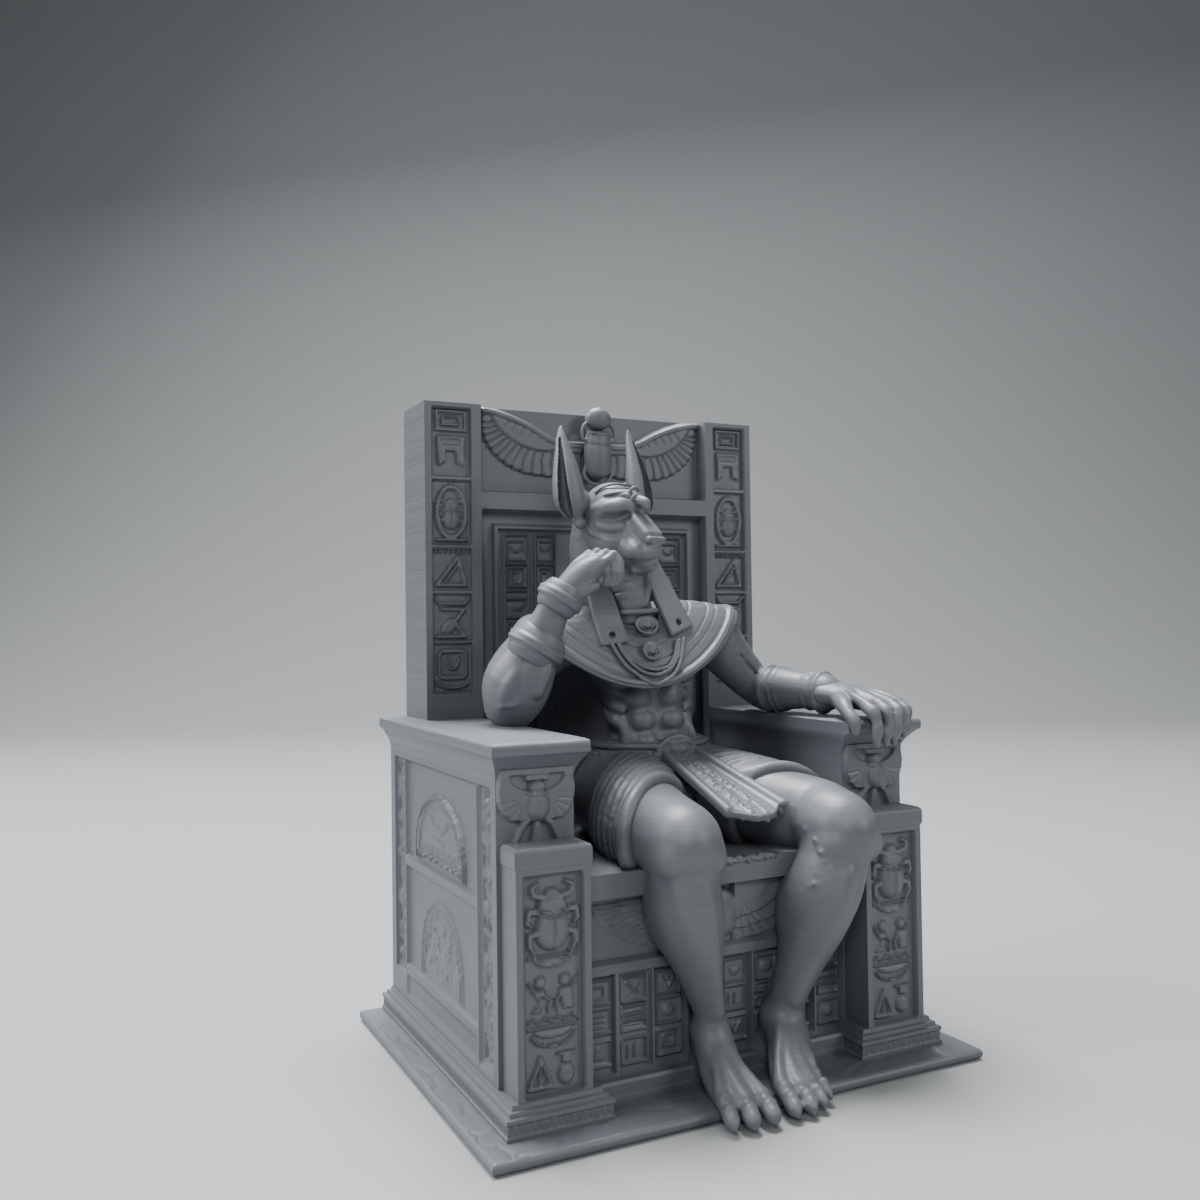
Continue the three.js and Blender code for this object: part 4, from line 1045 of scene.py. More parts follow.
    def build(self) -> None:
        """Makes every piece of the arm."""
        self.foot()
        self.flank()
        self.cornice()
        self.beetle_front()
        self.post()


@dataclass
class Seat:
    """The seat block: slab, sunk feather field, rail and a grid of small square signs."""
    shop: Workshop
    panel: float = -27.4

    def sign(self, relief: Relief, x: float, z: float, wide: float, tall: float, kind: int) -> None:
        """One framed square, filled by one of eight generic marks."""
        relief.raised(frame_of(x - wide, x + wide, z - tall, z + tall, 0.24, 0.2), 0.75, 0.3, 0.0)
        if kind % 8 == 0:
            relief.raised(frame_of(x - wide * 0.45, x + wide * 0.45, z - tall * 0.45, z + tall * 0.45,
                                   0.18), 0.55, 0.25, 0.0)
        elif kind % 8 == 1:
            for k in (-0.45, 0.0, 0.45):
                relief.raised(stroke([(x - wide * 0.55, z + tall * k), (x + wide * 0.55, z + tall * k)],
                                     0.16), 0.5, 0.25, 0.0)
        elif kind % 8 == 2:
            relief.raised(outline([(x - wide * 0.5, z - tall * 0.5), (x + wide * 0.5, z - tall * 0.5),
                                   (x, z + tall * 0.6)]), 0.5, 0.3, 0.0)
        elif kind % 8 == 3:
            relief.raised(stroke([(x - wide * 0.5, z - tall * 0.5), (x + wide * 0.5, z + tall * 0.5)],
                                 0.18), 0.5, 0.25, 0.0)
            relief.raised(stroke([(x - wide * 0.5, z + tall * 0.5), (x + wide * 0.5, z - tall * 0.5)],
                                 0.18), 0.5, 0.25, 0.0)
        elif kind % 8 == 4:
            relief.domed(bowl(x, z + tall * 0.35, wide * 0.55, tall * 0.8), 0.6, 0.7, 0.0)
        elif kind % 8 == 5:
            for k in (-0.5, 0.0, 0.5):
                relief.raised(stroke([(x + wide * k, z - tall * 0.5), (x + wide * k, z + tall * 0.5)],
                                     0.16), 0.5, 0.25, 0.0)
        elif kind % 8 == 6:
            relief.raised(stroke([(x - wide * 0.5, z + tall * 0.4), (x, z - tall * 0.5),
                                  (x + wide * 0.5, z + tall * 0.4)], 0.2), 0.5, 0.25, 0.0)
            relief.raised(disc(x, z + tall * 0.25, 0.35), 0.55, 0.25, 0.0)
        else:
            relief.domed(disc(x, z, wide * 0.55, tall * 0.5), 0.6, 0.7, 0.0)

    def carve(self, relief: Relief) -> None:
        """The whole front, from the slab down to the lower rail."""
        relief.raised(slab(-40, 40, 40.9, 50), 3.6, 0.5, 0.0)
        relief.raised(slab(-40, 40, 25.7, 28.2), 1.35, 0.3, 0.0)
        relief.raised(slab(-40, 40, 0, 6.3), 1.35, 0.3, 0.0)
        for rib in range(9):
            x = (rib - 4) * 7.9 + 0.1
            relief.raised(slab(x - 0.5, x + 0.5, 6.0, 26.0), 1.3, 0.3, 0.0)
            if rib == 8:
                continue
            mid = x + 3.95
            if rib % 2 == 0:
                for k, z in enumerate((22.3, 16.7, 10.6)):
                    self.sign(relief, mid, z, 2.7, 2.45, rib * 3 + k)
            else:
                self.sign(relief, mid, 22.1, 2.7, 2.4, rib * 3)
                for z in (17.9, 15.0):
                    relief.raised(frame_of(mid - 2.7, mid + 2.7, z - 0.85, z + 0.85, 0.22), 0.75, 0.3, 0.0)
                    relief.raised(stroke([(mid - 1.7, z), (mid + 1.7, z)], 0.16), 0.5, 0.25, 0.0)
                self.sign(relief, mid, 10.1, 2.7, 2.45, rib * 3 + 2)
        for turn in (-1, 1):
            for row in range(3):
                reach = 25.5 - row * 6.2
                turns = np.radians(np.linspace(0, 90, 13))
                edge = [(turn * (3.5 + reach * math.cos(a)), 40.6 - (12.2 - 2.4 * row) * math.sin(a))
                        for a in turns]
                relief.raised(outline([(turn * 3.5, 41.2), *edge]), 0.5 * (row + 1), 0.35, 0.0)
            for k in range(15):
                a = math.radians(4 + 6 * k)
                near = (turn * (3.5 + 9 * math.cos(a)), 40.6 - 5.5 * math.sin(a))
                far = (turn * (3.5 + 25 * math.cos(a)), 40.6 - 12.0 * math.sin(a))
                relief.grooved(stroke([near, far], 0.10), 0.26)
        relief.domed(disc(0.4, 34.4, 4.6, 5.4), 1.9, 3.2, 0.0)
        relief.rubbed((-32, 32, 41.5, 45.5), 2.2, 0.05, 61)

    def burr(self) -> None:
        """The rough beads that supports left along the middle of the seat's front edge."""
        clay = Clay((-4, -33, 43.5), (15, -28, 48), 0.2)
        chance = np.random.default_rng(11)
        spine = [(x, -31.0 + 0.25 * math.sin(2.1 * x), 45.7 + 0.3 * math.sin(1.3 * x), 0.5)
                 for x in np.linspace(-2.0, 12.6, 15)]
        clay.add(Strand(spine, 2), 0.2)
        for x in np.linspace(-1.6, 12.4, 26):
            size = chance.uniform(0.3, 0.75, 3)
            clay.add(Egg((x, -31.0 - chance.uniform(-0.5, 0.5), 45.8 + chance.uniform(-0.6, 0.5)),
                         tuple(size)), 0.15)
        self.shop.place("seat_burr", clay.mesh("burr"))

    def build(self) -> None:
        """Makes the seat block and the low step under it."""
        relief = Relief(lines((-32.9, 32.9, 0.37)), lines((4.0, 6.6, 0.5), (6.6, 46.0, 0.37)))
        self.carve(relief)
        mesh = relief_block("seat", relief, facing_front(self.panel), straight(relief, 1.0, 52.4))
        self.shop.place("seat", mesh, 40)
        profile = [(1.6, 0.0), (3.2, 0.0), (3.5, -0.4), (5.5, -0.4), (6.05, -0.8)]
        step = Wall((-30.0, 30.0), (-31.6, 41.0), stepped(profile, 0.4), (0.9, 9, 9, 9))
        self.shop.place("seat_step", step.mesh("step"), 35)
        self.burr()
        rear = Wall((-32.6, 32.6), (23.0, 40.2), np.array([(2.0, 0.0), (45.5, 0.0)]), (9, 9, 9, 9))
        self.shop.place("rear_foot", rear.mesh("rear"), 35)


@dataclass
class BackSlab:
    """The high back: two sign strips and the middle with the wings and the field behind the figure."""
    shop: Workshop
    plane: float = 24.0
    top: float = 146.5

    def strip(self, side: Side) -> None:
        """One end of the slab with its sunk strip of signs."""
        x0, x1 = side.span(31.9, 44.9)
        mid = side.value * 38.3
        relief = Relief(lines((x0, x1, 0.30)), lines((60.0, 76.0, 2.0), (76.0, 146.5, 0.31)))
        floor = -1.4
        relief.sunk(slab(mid - 4.7, mid + 4.7, 78.8, 145.2), 1.4, 0.35)
        relief.raised(frame_of(mid - 3.5, mid + 3.5, 140.1, 144.4, 0.34), 0.95, 0.35, floor)
        relief.raised(frame_of(mid - 1.9, mid + 1.9, 141.4, 143.1, 0.26), 0.8, 0.3, floor)
        relief.raised(outline([(mid - 3.5, 138.8), (mid + 3.5, 138.8), (mid + 3.2, 131.6),
                               (mid + 1.4, 132.6), (mid + 1.2, 135.2), (mid - 1.2, 135.2),
                               (mid - 1.4, 132.6), (mid - 3.2, 131.6)]), 0.95, 0.4, floor)
        relief.sunk(slab(mid - 2.4, mid + 2.4, 136.6, 137.9), 0.4, 0.3)
        relief.raised(slab(mid - 4.7, mid + 4.7, 128.2, 129.2), 1.1, 0.3, floor)
        relief.raised(ring(mid, 120.9, 3.5, 5.9, 0.55), 1.05, 0.4, floor)
        beetle(relief, mid, 120.6, 8.0, floor)
        relief.raised(stroke([(mid - 3.6, 114.4), (mid + 3.6, 114.4)], 0.35), 0.9, 0.3, floor)
        relief.raised(slab(mid - 4.7, mid + 4.7, 112.3, 113.3), 1.2, 0.3, floor)
        for k in range(8):
            relief.raised(disc(mid - 4.0 + 1.15 * k, 111.7, 0.40), 1.0, 0.3, floor)
        tent = [(mid - 3.7, 103.8), (mid + 1.6, 110.4), (mid + 3.4, 103.8)]
        relief.raised(stroke([*tent, tent[0]], 0.45), 1.0, 0.4, floor)
        relief.raised(stroke([(mid - 1.4, 104.6), (mid + 1.5, 108.6)], 0.35), 0.85, 0.3, floor)
        relief.raised(slab(mid - 4.7, mid + 4.7, 101.7, 102.5), 1.1, 0.3, floor)
        relief.raised(stroke([(mid - 4.2, 100.9), (mid - 3.0, 99.4), (mid + 3.0, 99.4), (mid + 4.2, 100.9)],
                             0.36), 1.0, 0.35, floor)
        relief.raised(stroke([(mid - 2.6, 98.2), (mid + 3.0, 98.0), (mid + 0.6, 95.2), (mid + 3.2, 91.8),
                              (mid - 3.6, 91.8)], 0.42), 1.0, 0.4, floor)
        relief.domed(disc(mid - 0.8, 94.2, 2.2, 1.7, 40), 0.9, 1.1, floor)
        relief.raised(slab(mid - 4.7, mid + 4.7, 90.1, 90.9), 1.1, 0.3, floor)
        relief.raised(frame_of(mid - 3.3, mid + 3.3, 82.2, 88.4, 0.42, 1.2), 1.0, 0.35, floor)
        relief.raised(swing(mid, 86.6, 1.5, 180, 360, 0.34, 1.6), 0.9, 0.3, floor)
        relief.raised(swing(mid, 81.6, 4.0, 200, 340, 0.34, 0.45), 0.95, 0.35, floor)
        relief.rubbed((mid - 4.4, mid + 4.4, 79.2, 144.8), 0.9, 0.06, 71)
        mesh = relief_block("strip", relief, facing_front(self.plane), straight(relief, 1.0, 16.2))
        self.shop.place(f"back_strip_{side.name.lower()}", mesh, 40)

    def wing(self, relief: Relief, turn: int, floor: float) -> None:
        """A spread wing: scalloped plate, feather grooves, the row of coverts and the rolled arm."""
        covert = curve([(27.4, 144.0), (25.4, 141.4), (22.6, 139.2), (19.4, 137.6), (15.3, 136.7),
                        (9.7, 136.9), (3.5, 136.6)], 4)
        edge = curve([(29.6, 144.4), (29.6, 141.2), (28.2, 137.6), (25.2, 134.4), (20.8, 132.0),
                      (15, 130.9), (9, 130.9), (3.5, 131.7)], 4)
        t = np.linspace(0, 1, 121)
        rim = np.stack([np.interp(t, np.linspace(0, 1, len(edge)), edge[:, k]) for k in (0, 1)], 1)
        swell = 0.40 * np.abs(np.sin(t * np.pi * 15)) ** 0.7
        away = rim - [14.0, 139.0]
        rim = rim + away / np.linalg.norm(away, axis=1, keepdims=True) * (swell[:, None] - 0.2)
        plate = [(turn * p, q) for p, q in [*rim, (3.5, 138.4), (12.5, 139.0), (19, 142.4), (29.2, 145.4)]]
        relief.raised(outline(plate), 1.05, 0.5, floor)
        count = 15
        for k in range(1, count):
            share = k / count
            near = np.array([np.interp(share ** 1.1, np.linspace(0, 1, len(covert)), covert[:, a])
                             for a in (0, 1)])
            far = np.array([np.interp(share, np.linspace(0, 1, len(edge)), edge[:, a]) for a in (0, 1)])
            bend = (near + far) / 2 + [0.35, -0.35]
            line = curve([near, bend, far], 4)
            relief.grooved(stroke([(turn * p, q) for p, q in line], 0.10, 0.16), 0.45, 0.3)
        inner = [(turn * p, q) for p, q in [*covert, (3.5, 138.4), (12.5, 139.0), (19, 142.2), (27, 144.8)]]
        relief.raised(outline(inner), 0.5, 0.5, floor + 1.05)
        relief.grooved(stroke([(turn * p, q) for p, q in covert], 0.12), 0.35, 0.3)
        for k in range(1, 9):
            near = np.array([np.interp(k / 9, (0, 1), (25.2, 6.0)),
                             np.interp(k / 9, (0, 1), (144.2, 138.6))])
            tip = near + [1.4 - 0.12 * k, -2.2 + 0.12 * k]
            relief.grooved(stroke([(turn * p, q) for p, q in (near, tip)], 0.08, 0.12), 0.25, 0.25)
        arm = curve([(2.0, 138.7), (8.5, 138.7), (12.8, 139.9), (17.5, 142.3), (22.5, 144.2), (27, 145.3),
                     (29.6, 145.7)], 4)
        relief.raised(stroke([(turn * p, q) for p, q in arm], 1.0, 0.85), 2.0, 1.1, floor)

    def middle(self) -> None:
        """The middle of the slab."""
        relief = Relief(lines((-31.9, 31.9, 0.28)), lines((45.5, 78.0, 2.0), (78.0, 118.0, 0.5),
                                                          (118.0, 129.0, 0.8), (129.0, 146.5, 0.26)))
        floor = -3.6
        relief.sunk(slab(-30.7, 30.7, 126.0, 160.0), 3.6, 0.3)
        relief.sunk(slab(-30.7, 30.7, 40.0, 121.4), 3.4, 0.3)
        for turn in (-1, 1):
            self.wing(relief, turn, floor)
        base = -3.4
        relief.raised(frame_of(-26.7, 26.7, 30, 117.7, 0.6), 1.5, 0.3, base)
        for turn in (-1, 1):
            for near, far in ((17.9, 24.4), (10.8, 16.4)):
                u0, u1 = sorted((turn * near, turn * far))
                relief.raised(frame_of(u0, u1, 60, 115.9, 0.28), 1.1, 0.3, base)
                mid, half = (u0 + u1) / 2, (u1 - u0) / 2 - 0.9
                for row in range(6):
                    z = 112.4 - row * 6.6
                    if row % 3 == 0:
                        relief.raised(frame_of(mid - half, mid + half, z - 2.2, z + 2.2, 0.25), 0.8, 0.3,
                                      base)
                        relief.raised(swing(mid, z + 0.8, half * 0.6, 180, 360, 0.22, 0.8), 0.7, 0.3, base)
                    elif row % 3 == 1:
                        relief.raised(frame_of(mid - half, mid + half, z - 2.2, z + 2.2, 0.25), 0.8, 0.3,
                                      base)
                        relief.raised(frame_of(mid - half * 0.5, mid + half * 0.5, z - 1.1, z + 1.1, 0.2),
                                      0.7, 0.3, base)
                    else:
                        relief.domed(bowl(mid, z + 0.6, half, 2.2), 0.8, 1.0, base)
                        relief.raised(stroke([(mid - half, z + 1.4), (mid + half, z + 1.4)], 0.24), 0.8,
                                      0.3, base)
                    relief.raised(stroke([(u0, z - 3.3), (u1, z - 3.3)], 0.22), 0.9, 0.3, base)
        mesh = relief_block("middle", relief, facing_front(self.plane), straight(relief, 4.5, 16.2))
        self.shop.place("back_middle", mesh, 40)

    def finial(self) -> None:
        """The scarab with its disc, standing over the head."""
        y = self.plane + 0.6
        clay = Clay((-7, 19, 127), (7, 29, 149.0), 0.25)
        clay.add(Column([(130.6, 0, y, 1.6, 1.6), (131.4, 0, y, 2.7, 2.3), (133.2, 0, y, 3.4, 2.8),
                         (136.4, 0, y, 3.6, 3.0), (139.2, 0, y, 3.45, 2.8), (140.8, 0, y, 3.1, 2.5),
                         (141.9, 0, y, 2.5, 2.0)]), 0.4)
        clay.cut(Strand([(-4.4, y - 1.0, 138.7, 0.2), (0, y - 3.0, 138.3, 0.24),
                         (4.4, y - 1.0, 138.7, 0.2)]), 0.35)
        clay.cut(Strand([(0, y - 3.15, 138.2, 0.16), (0, y - 3.2, 134, 0.16), (0, y - 2.7, 131.4, 0.14)]),
                 0.35)
        clay.add(Strand([(-2.6, y - 2.0, 141.4, 0.3), (0, y - 2.5, 141.2, 0.3),
                         (2.6, y - 2.0, 141.4, 0.3)]), 0.3)
        clay.add(Egg((0, y - 0.4, 145.2), (3.4, 2.5, 2.85)), 0.3)
        clay.cut(Strand([(-3.8, y - 1.4, 144.3, 0.16), (0, y - 3.2, 143.6, 0.2),
                         (3.8, y - 1.4, 144.3, 0.16)]), 0.3)
        for turn in (-1, 1):
            arm = [(turn * 2.6, y - 0.4, 139.6, 0.6), (turn * 4.1, y - 0.5, 139.9, 0.5),
                   (turn * 4.5, y - 0.5, 141.6, 0.45), (turn * 3.9, y - 0.5, 143.4, 0.45),
                   (turn * 2.8, y - 0.5, 144.2, 0.4)]
            clay.add(Strand(arm), 0.3)
            leg = [(turn * 3.2, y + 0.2, 133.4, 0.5), (turn * 3.7, y + 0.2, 131.2, 0.45),
                   (turn * 2.2, y + 0.1, 129.4, 0.42), (0, y, 128.8, 0.42)]
            clay.add(Strand(leg), 0.3)
        clay.add(Strand([(0, y + 2.4, 132, 2.2), (0, y + 2.4, 143.4, 2.2)]), 0.8)
        clay.add(Strand([(0.1, y - 0.4, 147.7, 0.4), (0.3, y - 0.6, 148.3, 0.15)]), 0.4)
        self.shop.place("finial", clay.mesh("finial"))

    def build(self) -> None:
        """Makes the back."""
        for side in Side:
            self.strip(side)
        self.middle()
        self.finial()


# The figure

@dataclass(frozen=True)
class LegPlan:
    """Landmarks of one leg, from the hip to the toes.

    Args:
        side: which leg.
        hip, mid, knee: points on the thigh's bone.
        shank: points and radii from under the knee to the heel.
        toes: for each toe its knuckle and claw tip as x and y, and its half-width.
    """
    side: Side
    hip: Point
    mid: Point
    knee: Point
    shank: Sequence[Point]
    toes: Sequence[tuple[Point, Point, float]]


RIGHT_LEG = LegPlan(Side.RIGHT, (-4.5, 4, 55.0), (-10, -16, 52.6), (-12.6, -35.0, 51.2),
                    ((-12.4, -35.4, 47.0, 6.9), (-12.1, -35.4, 43.6, 6.9), (-11.6, -35.0, 39.5, 7.3),
                     (-10.9, -34.6, 36.0, 7.1), (-9.8, -34.2, 31.8, 6.2), (-8.4, -34.0, 26.8, 4.9),
                     (-6.9, -33.4, 21.8, 3.8), (-5.7, -32.9, 17.6, 3.15), (-4.9, -32.4, 13.6, 3.3),
                     (-4.6, -31.4, 8.5, 3.6)), (((-9.8, -45.2), (-11.2, -50.6), 1.9),
                                                ((-6.2, -46.4), (-7.4, -51.6), 2.15),
                                                ((-2.2, -46.2), (-2.8, -51.6), 2.2)))
LEFT_LEG = LegPlan(Side.LEFT, (12, 4, 55.0), (19.6, -15, 53.0), (26.0, -34.6, 50.4),
                   ((24.6, -35.2, 46.2, 7.2), (23.2, -35.2, 42.4, 7.4), (21.8, -35.0, 38.4, 7.6),
                    (20.4, -34.6, 34.6, 7.3), (18.9, -34.2, 30.4, 6.4), (17.3, -33.6, 26.0, 5.3),
                    (15.6, -33.0, 21.4, 4.4), (14.2, -32.4, 17.2, 3.8), (13.0, -31.6, 13.4, 3.7),
                    (12.0, -30.6, 8.6, 3.8)), (((3.4, -45.8), (2.4, -51.2), 2.0),
                                               ((6.7, -46.0), (6.0, -51.4), 1.95),
                                               ((9.8, -45.2), (9.3, -50.4), 1.8),
                                               ((12.6, -43.4), (12.4, -48.2), 1.5)))


SCARS = ((11.7, 51.2), (13.7, 52.2), (15.2, 52.8), (15.9, 50.0), (15.4, 48.6), (13.2, 49.8), (17.6, 47.4),
         (18.6, 45.2), (15.1, 44.8), (16.5, 43.2), (19.1, 43.6), (21.0, 41.7), (16.0, 41.1), (14.0, 40.7))


@dataclass
class Leg:
    """A bare leg: thigh, knee cap, calf, shin and a clawed foot."""
    plan: LegPlan
    shop: Workshop

    def sculpt(self) -> Clay:
        """The clay of the leg."""
        p, out = self.plan, self.plan.side.value
        k = p.knee
        shank = np.array(p.shank, float)
        low = min(shank[:, 0].min(), p.mid[0]) - 14
        high = max(shank[:, 0].max(), k[0]) + 13
        clay = Clay((low, -53, 0.6), (high, -8, 65), 0.56)
        clay.add(Strand([(*p.mid, 9.5), (k[0] + 0.3, k[1] + 9, k[2] + 1.0, 9.0),
                         (k[0], k[1] + 2.4, k[2] + 0.6, 8.3)], squeeze=((0, 0, 1), 0.98)))
        clay.add(Egg((k[0], k[1] - 1.8, k[2] + 0.2), (7.5, 6.6, 7.5)), 1.6)
        clay.add(Egg((k[0] + out * 0.4, k[1] - 5.8, k[2] - 0.4), (4.4, 3.0, 4.6)), 1.8)
        for turn in (-1, 1):
            clay.add(Egg((k[0] + turn * 4.6, k[1] - 3.6, k[2] - 2.6), (2.8, 3.8, 3.6)), 1.6)
        clay.add(Strand([tuple(row) for row in shank]), 1.3)
        knee, calf, shin, ankle = shank[1], shank[3], shank[5], shank[8]
        clay.add(Egg((calf[0] + out * 1.8, calf[1] + 3.4, calf[2] + 2.4), (6.0, 5.0, 9.6), (0, out * 9, 0)),
                 1.8)
        clay.add(Egg((calf[0] - out * 2.2, calf[1] + 3.0, calf[2] + 0.4), (5.2, 5.2, 9.0),
                     (0, out * 10, 0)), 1.8)
        ridge = [(row[0] - out * 0.6, row[1] - row[3] + 1.0, row[2], 1.5) for row in shank[1:8]]
        clay.add(Strand(ridge), 1.8)
        clay.add(Strand([(knee[0] + out * 3.6, knee[1] - 4.8, knee[2] + 0.6, 1.6),
                         (calf[0] + out * 3.2, calf[1] - 5.2, calf[2] + 2, 2.0),
                         (shin[0] + out * 1.4, shin[1] - 3.6, shin[2] + 1, 1.3)]), 1.8)
        for row in (shank[4], shank[8]):
            loop = [(row[0] + (row[3] + 0.05) * math.cos(a), row[1] + (row[3] + 0.05) * math.sin(a), row[2],
                     0.16) for a in np.linspace(math.pi * 1.05, math.pi * 1.9, 9)]
            clay.add(Strand(loop, 2), 0.3)
        for turn, lift in ((-1, 0.2), (1, -0.4)):
            reach = 2.1 if turn == out == -1 else 3.0
            clay.add(Egg((ankle[0] + turn * reach, ankle[1] + 0.9, ankle[2] - 0.6 + lift), (1.5, 1.9, 2.1)),
                     1.2)
        heel = shank[-1]
        lean = 1.2 if p.side is Side.LEFT else 0.0
        clay.add(Egg((heel[0] - lean, heel[1] + 2.2, 5.4), (3.7 + lean * 0.6, 4.4, 3.9)), 1.6)
        clay.add(Strand([(ankle[0], ankle[1] + 2.6, ankle[2] + 5, 1.6),
                         (heel[0], heel[1] + 4.6, 7.5, 2.2)]), 1.4)
        self.foot(clay)
        return clay.keep((-60, -52.1, 1.0), (60, 0, 65))

    def foot(self, clay: Clay) -> None:
        """The instep with a ridge to each toe, and the claws."""
        p = self.plan
        a = p.shank[8]
        knuckles = np.array([(*toe[0], toe[2]) for toe in p.toes])
        mid = knuckles[:, 0].mean()
        wide = 1.22 if len(p.toes) == 3 else 1.34
        clay.add(Strand([(a[0], a[1], 13.0, 3.2), (a[0] * 0.8 + mid * 0.2, -35.2, 9.0, 3.6),
                         (a[0] * 0.4 + mid * 0.6, -38.8, 5.6, 3.7), (mid, -42.2, 3.9, 3.4),
                         (mid, -45.0, 3.2, 3.0)], squeeze=((1, 0, 0), wide)), 1.4)
        for (kx, ky), (tx, ty), half in p.toes:
            clay.add(Strand([(a[0] + (kx - a[0]) * 0.30, -34.6, 12.6, 0.5),
                             (a[0] + (kx - a[0]) * 0.55, -37.8, 9.6, 0.9),
                             (a[0] + (kx - a[0]) * 0.84, -41.6, 7.2, 1.0),
                             (kx, ky + 1.4, 5.0, half * 0.7)]), 0.9)
            near, far = np.array([kx, ky]), np.array([tx, ty])
            rows = [(near * (1 - t) + far * t, z, r) for t, z, r in ((-0.42, 3.9, 0.78), (0.0, 4.1, 0.84),
                    (0.3, 3.4, 0.76), (0.58, 2.9, 0.82), (0.78, 2.5, 0.78))]
            clay.add(Strand([(*c, z, half * r) for c, z, r in rows]), 0.35)
            claw = [(*(near * (1 - t) + far * t), z, half * r)
                    for t, z, r in ((0.80, 3.4, 0.44), (0.96, 2.5, 0.42), (1.04, 1.6, 0.30))]
            clay.add(Strand(claw), 0.2)
            for t, z in ((0.0, 5.2), (0.54, 4.2)):
                c = near * (1 - t) + far * t
                clay.add(Egg((c[0], c[1], z), (half * 0.72, 0.95, 0.95)), 0.3)
            c = near * 0.72 + far * 0.28
            clay.cut(Strand([(c[0] - half, c[1] + 0.3, 4.0, 0.16), (c[0], c[1], 5.4, 0.22),
                             (c[0] + half, c[1] + 0.3, 4.0, 0.16)]), 0.35)

    def scars(self, clay: Clay) -> None:
        """The rough spots that a support left on the inner side of the left knee.

        Each spot is aimed at from the camera and lands where that line meets the knee.
        """
        eye = np.array(Studio.eye)
        spots = [clay.hit(eye, np.array([x, -40.0, z]) - eye) for x, z in SCARS]
        for n, spot in enumerate(spots):
            size = 0.34 + 0.16 * math.sin(2.3 * n)
            clay.add(Egg(tuple(spot), (size * 1.5, size, size)), 0.15)
        for first, last in ((0, 2), (3, 5), (6, 9), (10, 13)):
            clay.add(Strand([(*spot, 0.26) for spot in spots[first:last + 1]]), 0.15)

    def build(self) -> None:
        """Makes the leg."""
        clay = self.sculpt()
        if self.plan.side is Side.LEFT:
            self.scars(clay)
        self.shop.place(f"leg_{self.plan.side.name.lower()}", clay.mesh("leg"))


@dataclass
class Trunk:
    """The bare, muscular trunk between the belt and the collar."""
    shop: Workshop

    def ribs(self, clay: Clay, turn: int) -> None:
        """The rib arch, the muscle fingers on the flank and the oblique under them."""
        arch = [(-3.8, -2.6, 80.2, 0.8), (-7.4, -1.6, 78.2, 0.9), (-9.4, 0.2, 75.4, 0.8),
                (-8.6, 0.2, 72.4, 0.9), (-6.2, -0.9, 67.6, 1.3)]
        clay.add(Strand([(1.2 - turn * (x + 0.6), y, z, r) for x, y, z, r in arch]), 0.9)
        for row in range(4):
            z = 82.6 - row * 3.3
            clay.add(Strand([(0.9 + turn * (7.2 + 0.4 * row), -2.2 + 0.6 * row, z - 1.4, 0.6),
                             (0.9 + turn * (9.6 - 0.1 * row), 0.4 + 0.3 * row, z, 1.5),
                             (0.9 + turn * (10.8 - 0.4 * row), 3.8, z + 1.8, 1.3)]), 0.8)
        clay.add(Strand([(1.6 + turn * 9.4, 2.0, 72.6, 0.9), (1.8 + turn * 8.4, -0.2, 70.0, 1.3),
                         (2.4 + turn * 8.8, -0.2, 67.2, 1.5)]), 0.9)

    def build(self) -> None:
        """Makes the trunk."""
        clay = Clay((-20, -10, 58), (24, 19, 100), 0.54)
        clay.add(Column([(60, 3.2, 5.4, 12.6, 8.4), (65, 3, 5, 12.4, 8.0), (68.5, 2.6, 5, 10.4, 7.0),
                         (72, 2.0, 5.2, 9.6, 6.9), (77, 1.2, 5.4, 10.6, 7.4), (82, 0.6, 5.6, 12.0, 8.2),
                         (88, -0.6, 6, 15.0, 9.4), (93, -2, 5.6, 13.0, 8), (98, -3, 4.4, 7, 5.5)]))
        blocks = {-1: ((-3.6, -0.2, 77.6, 3.9, 3.1), (-2.6, -0.4, 72.4, 3.7, 2.9),
                       (-1.8, -0.6, 67.8, 3.4, 2.4)), 1: ((4.3, -0.5, 77.8, 3.9, 3.2),
                                                          (4.8, -0.6, 72.4, 3.7, 2.9),
                                                          (4.8, -0.8, 67.8, 3.4, 2.4))}
        for turn, rows in blocks.items():
            for x, y, z, half, tall in rows:
                clay.add(Egg((x, y + 0.2, z), (half, 3.5, tall + 0.2), (6, 0, turn * 8)), 0.9)
            clay.add(Egg((0.4 + turn * 6.4, 0.2, 84.6), (6.8, 4.2, 4.6), (10, 0, turn * 12)), 1.0)
            self.ribs(clay, turn)
        clay.cut(Strand([(1.6, -4.4, 65, 0.3), (1.5, -4.3, 69.8, 0.4), (1.0, -4.3, 74.3, 0.4),
                         (0.4, -4.4, 78, 0.5), (-0.2, -4.6, 82, 0.6)]), 1.0)
        clay.add(Egg((-2.4, -3.4, 70.8), (0.4, 0.4, 0.4)), 0.2)
        clay.add(Egg((4.3, -3.6, 71.0), (0.4, 0.4, 0.4)), 0.2)
        clay.add(Strand([(-2.4, -8.4, 81.0, 0.7), (-2.5, -8.6, 79.4, 0.35), (-2.6, -8.8, 78.4, 0.15)]), 0.3)
        self.shop.place("trunk", clay.mesh("trunk"))


